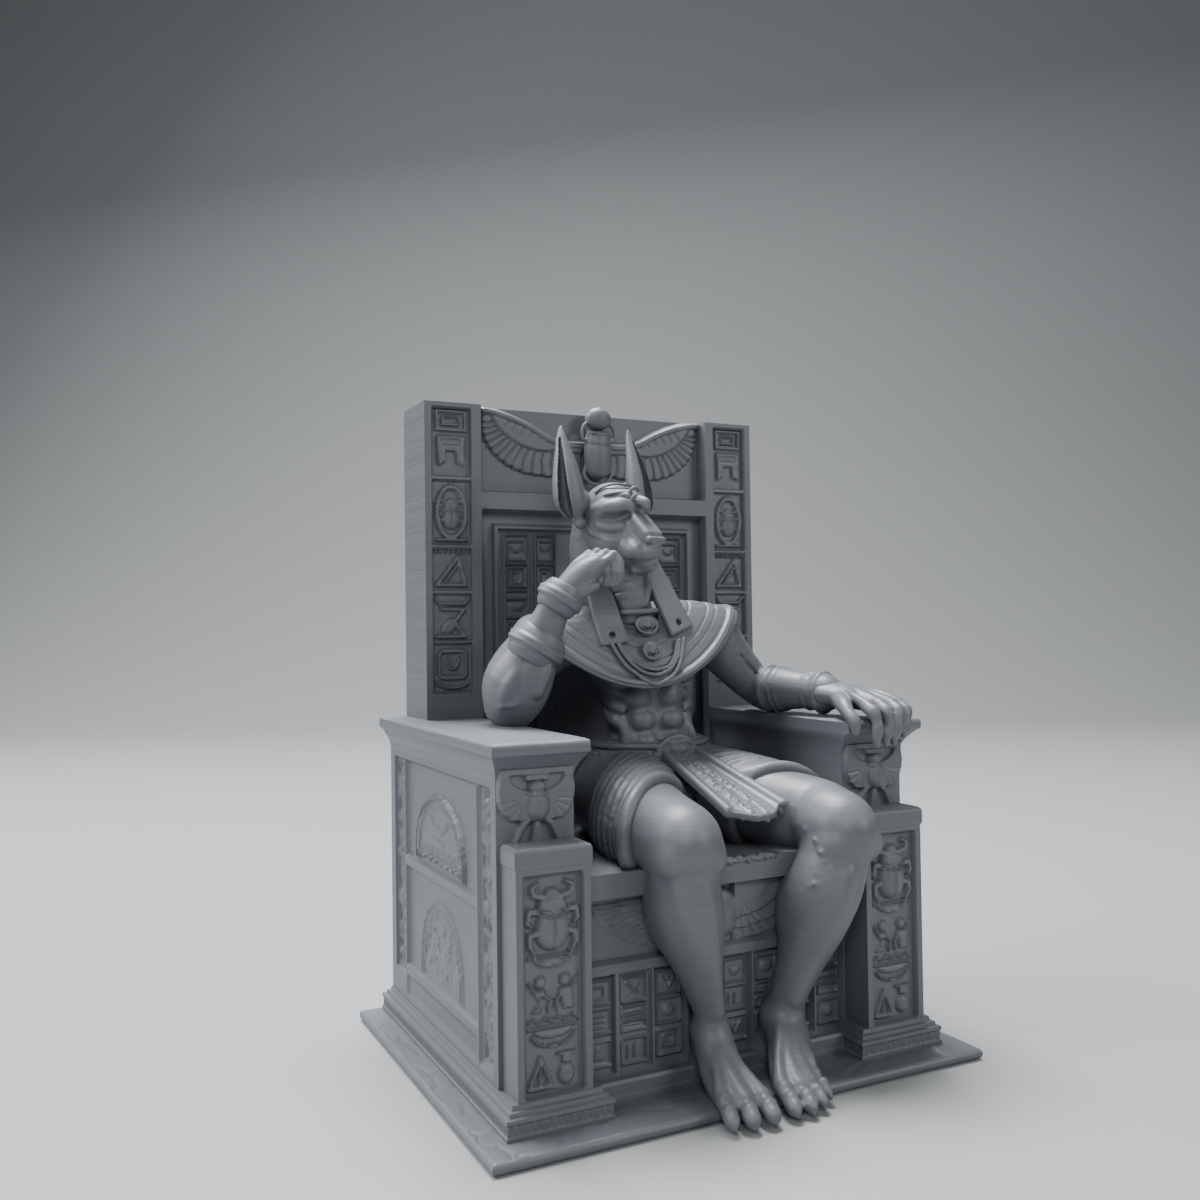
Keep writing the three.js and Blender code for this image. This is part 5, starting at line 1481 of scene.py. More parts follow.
PENDANTS = (((-2.6, -4.4, 94.0), 2.9, 2.3), ((-2.8, -6.9, 88.2), 2.3, 2.1))
CORDS = ((((-12.4, -5.2, 90.6), (-11.6, -6.2, 88.4), (-11.0, -6.8, 87.1), (-9.7, -7.9, 84.9),
           (-7.7, -8.6, 83.3), (-6.0, -9.1, 81.9), (-4.1, -9.4, 81.1), (-2.6, -9.4, 80.9),
           (-0.9, -9.3, 81.5), (1.0, -9.0, 82.4), (2.9, -8.4, 84.2), (4.2, -7.6, 86.0), (5.6, -6.2, 89.0),
           (6.1, -5.6, 90.6)), 0.5), (((-10.9, -5.2, 90.6), (-9.8, -6.6, 87.6), (-8.1, -7.8, 85.2),
                                       (-5.8, -8.5, 83.6), (-2.7, -8.9, 82.9), (0.2, -8.5, 83.7),
                                       (2.0, -8.1, 84.9), (3.8, -7.0, 87.3), (5.0, -5.6, 90.4)), 0.42),
         (((-10.2, -5.3, 90.4), (-9.1, -6.7, 87.7), (-7.4, -7.7, 85.8), (-5.2, -8.3, 84.5),
           (-2.7, -8.6, 84.0), (-0.3, -8.3, 84.4), (1.5, -7.9, 85.4), (3.1, -6.9, 87.6), (4.3, -5.6, 90.4)),
          0.30))


@dataclass
class Collar:
    """The broad draped collar, a disc from the neck to a rolled lip that sags at the front.

    A point at turn t, 0 to the wearer's left, and reach s, 0 at the neck and 1 at the rim, is
    neck + (rim(t) - neck) s + bulge sin(pi s), with rim(t) on an ellipse that sinks by the square of its
    front share, and heights of the relief added square to it.
    """
    shop: Workshop
    neck: tuple[float, float, float] = (-3.0, 2.4, 98.4)

    def point(self, turn: Array, reach: Array, lift: Array | float = 0.0) -> Array:
        """Rows of points on the collar's face."""
        turn, reach = np.broadcast_arrays(np.asarray(turn, float), np.asarray(reach, float))
        front = np.maximum(0, -np.sin(turn))
        rim = (-3 + np.cos(turn) * 27.5, 3 + np.sin(turn) * 12, 96 - 15.4 * front ** 2 + np.cos(turn) * 1.6)
        bulge = np.sin(np.pi * np.clip(reach, 0, 1))
        outward = 1.6 * bulge + lift * front
        rest = 1 - front
        return np.stack([
            self.neck[0] + (rim[0] - self.neck[0]) * reach + np.cos(turn) * outward * 0.4,
            self.neck[1] + (rim[1] - self.neck[1]) * reach + np.sin(turn) * outward,
            self.neck[2] + (rim[2] - self.neck[2]) * reach + 1.6 * bulge * rest + lift * rest], -1)

    def relief(self, turn: Array, reach: Array) -> Array:
        """Rows of hatching near the neck, plain bands with lines, and the lip."""
        rough = noise(np.stack([turn.ravel() * 60, reach.ravel() * 14], 1), 1.0, 82).reshape(turn.shape)
        rows = 0.14 * rough * (1 - ramp(np.abs(reach - 0.56), 0.10, 0.16)) * ramp(-turn, 1.75, 2.0)
        rows += 0.16 * np.sin(turn * 150) * (1 - ramp(np.abs(reach - 0.74), 0.02, 0.035)) * ramp(turn, -1.5,
                -1.3)
        scored = sum(0.28 * (1 - ramp(np.abs(reach - r), 0.004, 0.014)) for r in (0.52, 0.70, 0.79, 0.90))
        lip = 0.75 * (1 - ramp(np.abs(reach - 0.965), 0.02, 0.045))
        wear = 0.08 * noise(np.stack([turn.ravel() * 14, reach.ravel() * 18], 1), 1.0,
                            81).reshape(turn.shape)
        return rows - scored + lip + wear

    def build(self) -> None:
        """Makes the collar as rings from under the neck out, over the lip and back up."""
        turns = np.linspace(0, 2 * np.pi, 330, endpoint=False)[None, :]
        under = np.array([(0.02, -9.0), (0.4, -7.0), (0.90, -2.4), (0.98, -1.9), (1.02, -1.5),
                          (1.035, -0.9), (1.03, -0.3)])
        over = np.linspace(1.015, 0.30, 68)
        grid = [self.point(turns, np.full((1, 1), s), lift)[0] for s, lift in under]
        reach = np.repeat(over[:, None], turns.shape[1], 1)
        face = self.point(np.repeat(turns, len(over), 0), reach,
                          self.relief(np.repeat(turns, len(over), 0), reach))
        grid += list(face)
        grid.append(self.point(turns, np.full((1, 1), 0.02), -1.0)[0])
        count, rows = turns.shape[1], len(grid)
        j, i = np.mgrid[0:rows - 1, 0:count]
        a, b = (j * count + i).ravel(), (j * count + (i + 1) % count).ravel()
        mesh = facets_to_mesh("collar", np.vstack(grid), np.stack([a, b, b + count, a + count], 1),
                              caps=[np.arange(count)[::-1], (rows - 1) * count + np.arange(count)])
        self.shop.place("collar", mesh)

    def jewels(self) -> None:
        """The neck ring, two round pendants and the looped cords, on the collar's face."""
        clay = Clay((-22, -14, 80), (14, 9, 101), 0.25)
        turns = np.linspace(0, 2 * math.pi, 33)
        clay.add(Strand([(-3.2 + 5.4 * math.cos(a), 0.7 + 5.3 * math.sin(a), 97.0 + 0.3 * math.cos(a), 0.62)
                         for a in turns], 2))
        clay.add(Egg((1.9, -1.6, 97.2), (0.8, 0.8, 1.1)), 0.3)
        for (x, y, z), wide, tall in PENDANTS:
            c, ax, ay = np.array([x, y, z]), np.array([1, 0.0, 0]), np.array([0.0, 0.30, 0.95])
            for share, thick in ((0.90, 0.34), (0.60, 0.16)):
                loop = [(*(c + ax * wide * share * math.cos(a) + ay * tall * share * math.sin(a)), thick)
                        for a in turns[::2]]
                clay.add(Strand(loop, 2), 0.15)
            clay.add(Egg(tuple(c + [0, 0.5, 0]), (wide * 0.9, 0.75, tall * 0.9), (18, 0, 0)), 0.2)
            clay.add(Egg(tuple(c - ay * 0.1), (wide * 0.42, 0.75, tall * 0.36), (18, 0, 0)), 0.2)
            arc = [(*(c + ax * wide * 0.5 * math.cos(a) + ay * tall * 0.62 * math.sin(a) - [0, 0.4, 0]),
                    0.16) for a in np.radians(np.linspace(215, 325, 9))]
            clay.add(Strand(arc, 2), 0.1)
        for rows, thick in CORDS:
            clay.add(Strand([(*row, thick) for row in rows], 4), 0.2)
        self.shop.place("necklace", clay.mesh("necklace"))


@dataclass
class Head:
    """The jackal head in its own frame: x to the wearer's left, y backwards from the muzzle, z up."""
    shop: Workshop
    place: tuple[float, float, float] = (-8.0, 1.0, 116.4)
    yaw: float = 14.0

    def clay(self, low: Point, high: Point, pitch: float) -> Clay:
        """Clay that is turned and moved with the head."""
        return Clay(low, high, pitch, self.yaw, self.place)

    def muzzle(self, clay: Clay) -> None:
        """The flat bridge that falls to the nose, the lips and the lower jaw."""
        clay.add(Column([(-14.6, 0, -6.3, 1.2, 1.7), (-14.0, 0, -6.5, 1.9, 2.6), (-12.8, 0, -6.9, 2.4, 3.3),
                         (-11.0, 0, -6.5, 2.9, 4.1), (-8.6, 0, -5.2, 3.8, 5.2), (-6.0, 0, -3.8, 5.0, 6.2),
                         (-2.0, 0, -2.6, 6.0, 6.4), (2.0, 0, -2.0, 5.6, 6.0)], 1), 1.2)
        clay.add(Plank((0, -6.4, 2.4), (0, -13.2, -3.8), (2.7, 2.6), 3.0, (1, 0, 0), 0.8), 1.0)
        for turn in (-1, 1):
            clay.add(Egg((turn * 3.5, -2.6, -4.4), (2.8, 4.2, 3.6)), 1.6)
            clay.add(Egg((turn * 2.9, -9.0, -6.0), (1.9, 3.4, 2.4), (24, 0, turn * 12)), 1.0)
            clay.cut(Strand([(turn * 4.2, -7.6, 0.3, 0.2), (turn * 4.4, -9.2, -2.0, 0.4),
                             (turn * 3.9, -11.4, -4.2, 0.3)]), 1.3)
            mouth = [(0, -14.6, -8.0, 0.3), (turn * 1.4, -13.6, -8.7, 0.42),
                     (turn * 3.0, -10.8, -9.0, 0.55), (turn * 4.2, -7.6, -8.2, 0.55),
                     (turn * 5.2, -5.0, -7.0, 0.35)]
            clay.cut(Strand(mouth), 0.3)
        clay.cut(Strand([(0, -15.2, -5.8, 0.12), (0, -14.9, -7.8, 0.16)]), 0.4)
        clay.add(Strand([(0, -8.6, -10.0, 1.8), (0, -12.2, -9.8, 1.2)]), 0.5)
        clay.add(Strand([(0.9, -13.5, -8.4, 0.26), (1.0, -13.8, -9.6, 0.12)]), 0.25)

    def nose(self, clay: Clay) -> None:
        """The flat-topped nose with its nostrils."""
        clay.add(Plank((0, -12.0, -3.2), (0, -14.6, -4.4), (2.3, 2.6), 1.6, (1, 0, 0), 0.4), 0.3)
        clay.add(Egg((0, -13.4, -4.9), (2.2, 1.3, 1.1)), 0.4)
        for turn in (-1, 1):
            clay.cut(Strand([(turn * 0.9, -15.2, -5.4, 0.55), (turn * 1.9, -14.2, -5.5, 0.6),
                             (turn * 2.7, -12.9, -5.1, 0.25)]), 0.3)

    def eye(self, clay: Clay, turn: int) -> None:
        """A heavy brow over a closed eye, with the furrow above and the fold below."""
        clay.add(Strand([(turn * 1.3, -7.0, 3.5, 1.6), (turn * 3.4, -6.0, 3.5, 1.9),
                         (turn * 5.4, -4.0, 3.4, 1.7), (turn * 6.3, -1.2, 3.0, 1.0)]), 1.1)
        clay.cut(Strand([(turn * 2.9, -8.0, 1.7, 0.9), (turn * 4.4, -6.9, 1.2, 0.9),
                         (turn * 6.2, -4.6, 1.2, 0.6)]), 1.0)
        clay.cut(Strand([(turn * 2.4, -7.5, 1.8, 0.8), (turn * 3.6, -6.4, 1.1, 0.75),
                         (turn * 5.1, -5.0, 0.8, 0.62), (turn * 6.8, -2.5, 1.1, 0.25)]), 0.25)
        clay.add(Strand([(turn * 3.4, -6.6, -0.7, 0.9), (turn * 5.0, -4.9, -1.0, 1.0),
                         (turn * 6.4, -2.6, -0.5, 0.7)]), 1.0)
        clay.cut(Strand([(turn * 3.8, -7.6, -2.2, 0.2), (turn * 5.4, -5.6, -2.6, 0.3),
                         (turn * 6.8, -3.0, -2.0, 0.2)]), 0.9)
        clay.cut(Strand([(turn * 1.0, -8.4, 5.1, 0.2), (turn * 2.6, -7.1, 5.8, 0.34),
                         (turn * 4.6, -4.6, 6.2, 0.2)]), 0.5)
        clay.add(Strand([(turn * 7.0, 4.1, 3.2, 0.5), (turn * 7.35, 1.2, 0.0, 0.6),
                         (turn * 6.45, -1.85, -2.6, 0.6), (turn * 5.5, -4.6, -3.6, 0.35)]), 0.2)

    def face(self) -> None:
        """Cranium, muzzle, eyes and nose."""
        clay = self.clay((-9.5, -17.5, -14), (9.5, 9.5, 12), 0.29)
        clay.add(Egg((0, 0.6, 1.6), (7.4, 7.9, 8.3)))
        clay.add(Egg((0, -5.6, 4.2), (4.2, 2.8, 3.4)), 1.4)
        self.muzzle(clay)
        self.nose(clay)
        for turn in (-1, 1):
            self.eye(clay, turn)
        self.shop.place("head", clay.mesh("head"))

    def band(self) -> None:
        """The ridged headband and the small rearing snake at its middle, with its two loops."""
        def sunk(rows: Sequence[Point]) -> list[Point]:
            """Points drawn a little towards the middle of the skull, so that the ridge is half buried."""
            return [(x * 0.965, 0.6 + (y - 0.6) * 0.965, 1.6 + (z - 1.6) * 0.965) for x, y, z in rows]

        clay = self.clay((-9.5, -12.5, 1), (9.5, 3, 12.5), 0.22)
        for turn in (-1, 1):
            upper = [(turn * 5.9, -0.6, 7.4), (turn * 4.6, -1.6, 8.6), (turn * 2.6, -3.4, 9.3),
                     (0, -4.6, 9.2)]
            lower = [(turn * 5.2, -3.2, 6.6), (turn * 3.8, -5.0, 7.0), (turn * 2.0, -6.4, 7.1),
                     (0, -7.0, 6.8)]
            for rows, radius in ((upper, 0.30), (lower, 0.40)):
                clay.add(Strand([(*row, radius) for row in sunk(rows)]), 0.6)
        for y, z, size in ((-7.3, 7.0, 1.25), (-8.2, 5.0, 1.6)):
            loop = [(size * math.cos(a), y - 0.5 * math.sin(a), z + size * math.sin(a))
                    for a in np.linspace(-0.5, math.pi + 0.5, 13)]
            clay.add(Strand([(*row, 0.42) for row in sunk(loop)], 2), 0.5)
        clay.add(Strand([(0, -7.0, 5.4, 1.0), (0.2, -9.0, 4.9, 1.2), (0.4, -10.4, 4.4, 1.1),
                         (0.4, -11.0, 3.4, 0.7)]), 0.5)
        self.shop.place("headband", clay.mesh("headband"))

    def ear(self, side: Side) -> None:
        """A tall ear: a leaf-shaped shell with a long hollow that opens outwards and forwards."""
        s = side.value
        low, high = sorted((s * 4.0, s * 15.6))
        clay = self.clay((low, -3.5, -2), (high, 8.5, 25), 0.28)
        lean = 0.6 if side is Side.LEFT else -0.5
        slim = 0.90 if side is Side.LEFT else 1.0
        rows = [(0.6, 9.2, 2.2, 0.8, 0.9), (2.0, 9.7, 2.4, 2.2, 2.1), (4.6, 10.4, 2.5, 3.6, 3.4),
                (8.0, 10.7, 2.8, 3.6, 3.5), (12, 10.7, 3.5, 3.0, 3.1), (15.5, 10.6, 4.2, 2.2, 2.4),
                (20, 10.4, 5.4, 1.15, 1.4), (22.4, 10.2, 5.9, 0.5, 0.6), (23.2, 10.1, 6.0, 0.2, 0.25)]
        clay.add(Column([(u + lean * max(0, u) / 23, s * r, y, a * slim, b * slim)
                         for u, r, y, a, b in rows]))
        way, out, fore = ((-0.35, -0.94), 0.75, 1.9) if side is Side.LEFT else ((-0.65, -0.76), 1.35, 0.2)
        hollow = [(s * (r + out * a / 3.5), y - fore * a / 3.5, u + lean * u / 23, wide * a / 3.5)
                  for (u, r, y, a, b), wide in zip(rows[1:7], (1.2, 1.5, 1.4, 1.35, 1.25, 1.1))]
        clay.cut(Strand(hollow, squeeze=((*way, 0), 2.1)), 0.2)
        clay.add(Egg((s * 8.4, 1.4, 0.4), (1.5, 1.5, 1.4)), 0.6)
        clay.add(Egg((s * 7.0, 2.4, 5.0), (1.9, 2.2, 3.0)), 1.0)
        self.shop.place(f"ear_{side.name.lower()}", clay.mesh("ear"))

    def build(self) -> None:
        """Makes the head."""
        self.face()
        self.band()
        for side in Side:
            self.ear(side)


@dataclass
class HeadCloth:
    """The cloth behind the jaw, the neck in front of it and the two lappets with their rivet holes."""
    shop: Workshop
    collar: Collar

    def build(self) -> None:
        """Makes the cloth, the neck and the lappets."""
        clay = Clay((-21, -6, 93), (8, 14, 124), 0.60)
        clay.add(Strand([(-8.6, 5.6, 119, 4.8), (-8, 6.6, 112, 5.9), (-6.6, 7, 104, 6.3),
                         (-4.6, 6.5, 97, 6.2)], squeeze=((1, 0, 0), 1.36)))
        self.shop.place("head_cloth", clay.mesh("cloth"))
        neck = Clay((-13, -7, 94), (5, 9, 114), 0.38)
        neck.add(Strand([(-6.6, 0.5, 112, 4.9), (-5.2, 0.7, 104, 4.8), (-3.4, 1.4, 95.5, 4.9)]))
        for k in range(4):
            z = 99.6 + 2.1 * k
            x = -3.9 - 0.25 * k
            groove = [(x + 4.95 * math.cos(a), 0.8 + 4.95 * math.sin(a), z + 0.5 * math.cos(a), 0.18)
                      for a in np.linspace(0, 2 * math.pi, 17)]
            neck.cut(Strand(groove, 2), 0.4)
        neck.add(Strand([(-2.6, -3.4, 108, 0.8), (-1.9, -3.9, 103, 0.9), (-2.6, -3.8, 98.6, 0.6)]), 0.8)
        self.shop.place("neck", neck.mesh("neck"))
        clay = Clay((-22, -13, 86), (14, 7, 110), 0.34)
        for start, turn, reach, widths, across in (((-12.6, 2.5, 106), -0.5, 0.6, (2.8, 3.3), (1, -0.2, 0)),
                                                   ((0.2, 0.0, 108), 0.62, 0.56, (2.8, 3.6), (1, 0.15, 0))):
            end = self.collar.point(np.array(-math.pi / 2 + turn), np.array(reach), 0.5)
            board = Plank(start, tuple(end), widths, 1.6, across)
            clay.add(board, 0.3)
            along = unit(end - np.asarray(start))
            wide = unit(np.asarray(across, float) - along * (along @ np.asarray(across, float)))
            face = np.cross(wide, along)
            face = face if face[1] < 0 else -face
            hole = end - along * 2.2
            clay.cut(Strand([(*(hole + face * 3), 0.75), (*(hole - face * 0.2), 0.75)], 2), 0.2)
        self.shop.place("lappets", clay.mesh("lappets"))


@dataclass
class Arms:
    """The bent right arm with its fist at the cheek, and the left arm laid along the throne."""
    shop: Workshop

    def right(self) -> None:
        """Shoulder and folded arm, bulky at the elbow."""
        clay = Clay((-43, -16, 70.5), (-8, 15, 104), 0.43)
        clay.add(Strand([(-15, 5.4, 93, 5.6), (-21, 6, 90.4, 6.4), (-27, 6.2, 86.6, 6.6),
                         (-31.6, 5.4, 81.6, 6.2), (-33.4, 3.6, 77, 5.0)]))
        clay.add(Strand([(-33.0, 1.4, 74.2, 2.6), (-33.0, 0.8, 76.6, 5.0), (-32.5, 0.0, 80.5, 7.0),
                         (-31.0, -1.4, 84.6, 6.5), (-29.7, -3.4, 89, 4.8), (-28.2, -5.0, 92.6, 4.2),
                         (-27.0, -7.2, 97.0, 3.5), (-26.0, -8.6, 101, 3.2)]), 0.7)
        clay.add(Egg((-24.0, 6.4, 91.0), (6.6, 6.2, 5.4), (0, 34, 0)), 1.6)
        clay.add(Strand([(-31.8, -5.2, 86.2, 0.6), (-34.0, -5.8, 84.2, 1.3), (-36.4, -4.6, 80.6, 1.4),
                         (-37.0, -2.8, 77.0, 0.9)]), 1.2)
        clay.add(Strand([(-28.6, -7.2, 86.4, 0.5), (-28.6, -7.6, 84.6, 1.2), (-30.4, -6.6, 80.0, 1.1)]),
                 1.2)
        clay.cut(Strand([(-26.4, -7.4, 86.4, 0.2), (-26.6, -7.0, 82.6, 0.3), (-28.6, -6.2, 78.4, 0.2)]),
                 1.2)
        clay.cut(Strand([(-33.6, -7.4, 87.4, 0.2), (-34.6, -7.6, 83.6, 0.4), (-35.0, -6.8, 80.0, 0.2)]),
                 1.6)
        clay.add(Strand([(-37.6, -4.2, 77.2, 0.4), (-35.6, -5.4, 77.4, 0.6), (-34.0, -6.0, 78.0, 0.4)]),
                 0.5)
        self.shop.place("arm_right", clay.keep((-60, -60, 72.3), (60, 60, 120)).mesh("arm"))
        self.cuffs()
        self.fist()

    def cuffs(self) -> None:
        """Two thick bands square to the forearm, each with a rolled rim at both edges."""
        axis = unit((0.50, -0.14, 0.85))
        side = unit(np.cross(axis, (0, 0, 1)))
        rise = np.cross(side, axis)
        turns = np.linspace(0, 2 * math.pi, 33)
        for name, centre, radius, half, rolled in (("armlet_right", (-29.4, -3.7, 89.6), 5.9, 0.5, 0.65),
                                                   ("bracelet_right", (-25.7, -8.3, 99.8), 4.6, 0.5, 0.6)):
            c = np.array(centre)
            clay = Clay(tuple(c - radius - 2), tuple(c + radius + 2), 0.32)
            clay.add(Strand([(*(c - axis * half), radius), (*(c + axis * half), radius)], 2), 0.3)
            for along in (-half, half):
                hoop = [(*(c + axis * along + side * radius * math.cos(a) + rise * radius * math.sin(a)),
                         rolled) for a in turns]
                clay.add(Strand(hoop, 2), 0.3)
            for end in (-1, 1):
                clay.cut(Strand([(*(c + axis * end * (half + rolled + radius)), radius - 0.25),
                                 (*(c + axis * end * (half + rolled + radius * 3)), radius - 0.25)], 2),
                         0.2)
            self.shop.place(name, clay.mesh("cuff"))

    def fist(self) -> None:
        """A fist with its back to the front: tendons fan to four knuckles, and the fingers curl under."""
        clay = Clay((-31, -17, 96), (-9, -3, 113.5), 0.26)
        clay.add(Strand([(-26.4, -8.2, 98.6, 3.3), (-23.0, -8.8, 102.6, 3.2), (-20.2, -9.2, 105.2, 3.0),
                         (-17.8, -9.4, 106.8, 2.4)]))
        knuckles = [(-18.2, -7.0, 109.3), (-16.8, -8.3, 109.6), (-15.2, -9.5, 109.4), (-13.9, -10.5, 109.0)]
        bends = [(-16.4, -9.2, 105.6), (-15.5, -10.4, 105.6), (-14.3, -11.2, 105.4), (-13.2, -11.9, 105.2)]
        tips = [(-16.8, -9.6, 103.2), (-15.9, -10.3, 103.0), (-14.9, -10.7, 102.9), (-14.0, -11.0, 102.8)]
        for n, (knuckle, bend, tip) in enumerate(zip(knuckles, bends, tips)):
            root = (-24.4 + n * 0.35, -7.4 - n * 1.0, 104.2 - n * 0.8)
            mid = tuple((np.array(root) + np.array(knuckle)) / 2 + [-0.3, -0.5, 0.5])
            clay.add(Strand([(*root, 0.7), (*mid, 0.9), (*knuckle, 1.0)]), 0.4)
            clay.add(Egg(knuckle, (1.15, 1.05, 1.15)), 0.2)
            half = tuple((np.array(knuckle) + np.array(bend)) / 2 + [0.5, -0.3, 0.3])
            clay.add(Strand([(*knuckle, 0.95), (*half, 1.0), (*bend, 1.05)]), 0.2)
            clay.add(Strand([(*bend, 1.0), (*((np.array(bend) + np.array(tip)) / 2 + [0.3, 0, 0]), 1.0),
                             (*tip, 0.9)]), 0.2)
        clay.add(Strand([(-24.0, -10.0, 100.2, 2.0), (-21.0, -11.0, 101.6, 1.5),
                         (-18.8, -11.4, 102.4, 1.0)]), 0.6)
        clay.cut(Strand([(-18.4, -13.2, 103.6, 0.9), (-16.2, -13.0, 103.6, 0.9),
                         (-14.6, -12.8, 103.0, 0.6)]), 0.4)
        self.shop.place("fist_right", clay.mesh("fist"))

    def left(self) -> None:
        """Shoulder, upper arm, bracer, hand and the fingers over the edge."""
        clay = Clay((8, -22, 71), (46, 15, 100), 0.44)
        clay.add(Strand([(14, 4.6, 93, 6.4), (19.6, 4, 90.4, 6.5), (25, 3.6, 85, 5.4),
                         (29.6, 3.4, 80.4, 4.7), (32.4, 3.4, 77.8, 3.9)]))
        clay.add(Egg((19.5, 4.2, 91.0), (6.6, 6.4, 5.0), (0, 34, 0)), 1.4)
        clay.add(Strand([(32.4, 5.0, 77.4, 3.2), (32.4, 1.2, 78, 4.8), (32.6, -1.4, 78.1, 5.3),
                         (33, -3, 78.2, 4.9), (33.6, -5.4, 78.3, 5.0), (35.8, -13.4, 78, 4.0),
                         (36.6, -16.6, 77.8, 4.4), (37.2, -18.4, 77.7, 3.3)]), 0.8)
        for (x, y, z), size, thick in (((32.8, -1.6, 78.2), 5.3, 0.5), ((33.5, -4.4, 78.2), 5.1, 0.45),
                                       ((33.9, -5.9, 78.2), 5.0, 0.35), ((35.9, -13.0, 78.0), 4.2, 0.4),
                                       ((36.9, -16.4, 77.8), 4.5, 0.6)):
            loop = [(x + size * 0.96 * math.cos(a), y + size * 0.3 * math.cos(a), z + size * math.sin(a),
                     thick) for a in np.linspace(0, 2 * math.pi, 25)]
            clay.add(Strand(loop, 2), 0.2)
        clay.add(Plank((36.4, -12.6, 82.0), (37.4, -16.8, 82.0), (1.4, 1.4), 0.9, (1, 0, 0)), 0.2)
        clay.cut(Strand([(24.0, -1.4, 86.4, 0.2), (27.6, -0.9, 83.0, 0.4), (30.4, -0.6, 80.4, 0.2)]), 0.9)
        self.shop.place("arm_left", clay.mesh("arm"))
        hand = Clay((28, -39, 65), (50, -15, 83), 0.30)
        hand.add(Strand([(37.6, -18.0, 77.6, 3.1), (38.6, -22, 77.2, 2.7), (39.4, -26, 76.6, 2.3),
                         (40.0, -30, 75.8, 1.8)], squeeze=((1, 0.3, 0), 1.75)))
        for n, (base, top, mid, tip, z) in enumerate(((35.8, 36.0, 36.3, 36.0, 67.4),
                                                      (38.8, 39.6, 39.6, 38.6, 67.6),
                                                      (41.6, 42.8, 41.9, 40.8, 67.9),
                                                      (43.8, 44.9, 44.2, 43.6, 69.2))):
            hand.add(Strand([(38.0 + n * 1.2, -22.4, 79.0, 0.6), (base, -28.4, 77.6, 1.0),
                             (top, -32.4, 75.8, 1.35)]), 0.8)
            hand.add(Strand([(top, -32.4, 75.6, 1.4), (top, -34.6, 74.4, 1.5), (mid, -35.4, 72.6, 1.15),
                             (mid, -35.6, 71.0, 1.3), (tip, -35.6, z + 1.6, 1.05), (tip, -35.4, z, 0.65)]),
                     0.25)
            hand.add(Egg((top, -34.6, 74.9), (1.2, 1.1, 1.0)), 0.3)
        hand.add(Strand([(36.0, -23.0, 76.8, 2.0), (33.0, -28.4, 75.8, 1.8), (31.9, -31.4, 74.2, 1.4),
                         (32.0, -33.2, 72.6, 1.4), (31.8, -33.8, 70.3, 0.8)]), 0.5)
        self.shop.place("hand_left", hand.mesh("hand"))

    def build(self) -> None:
        """Makes both arms."""
        self.right()
        self.left()


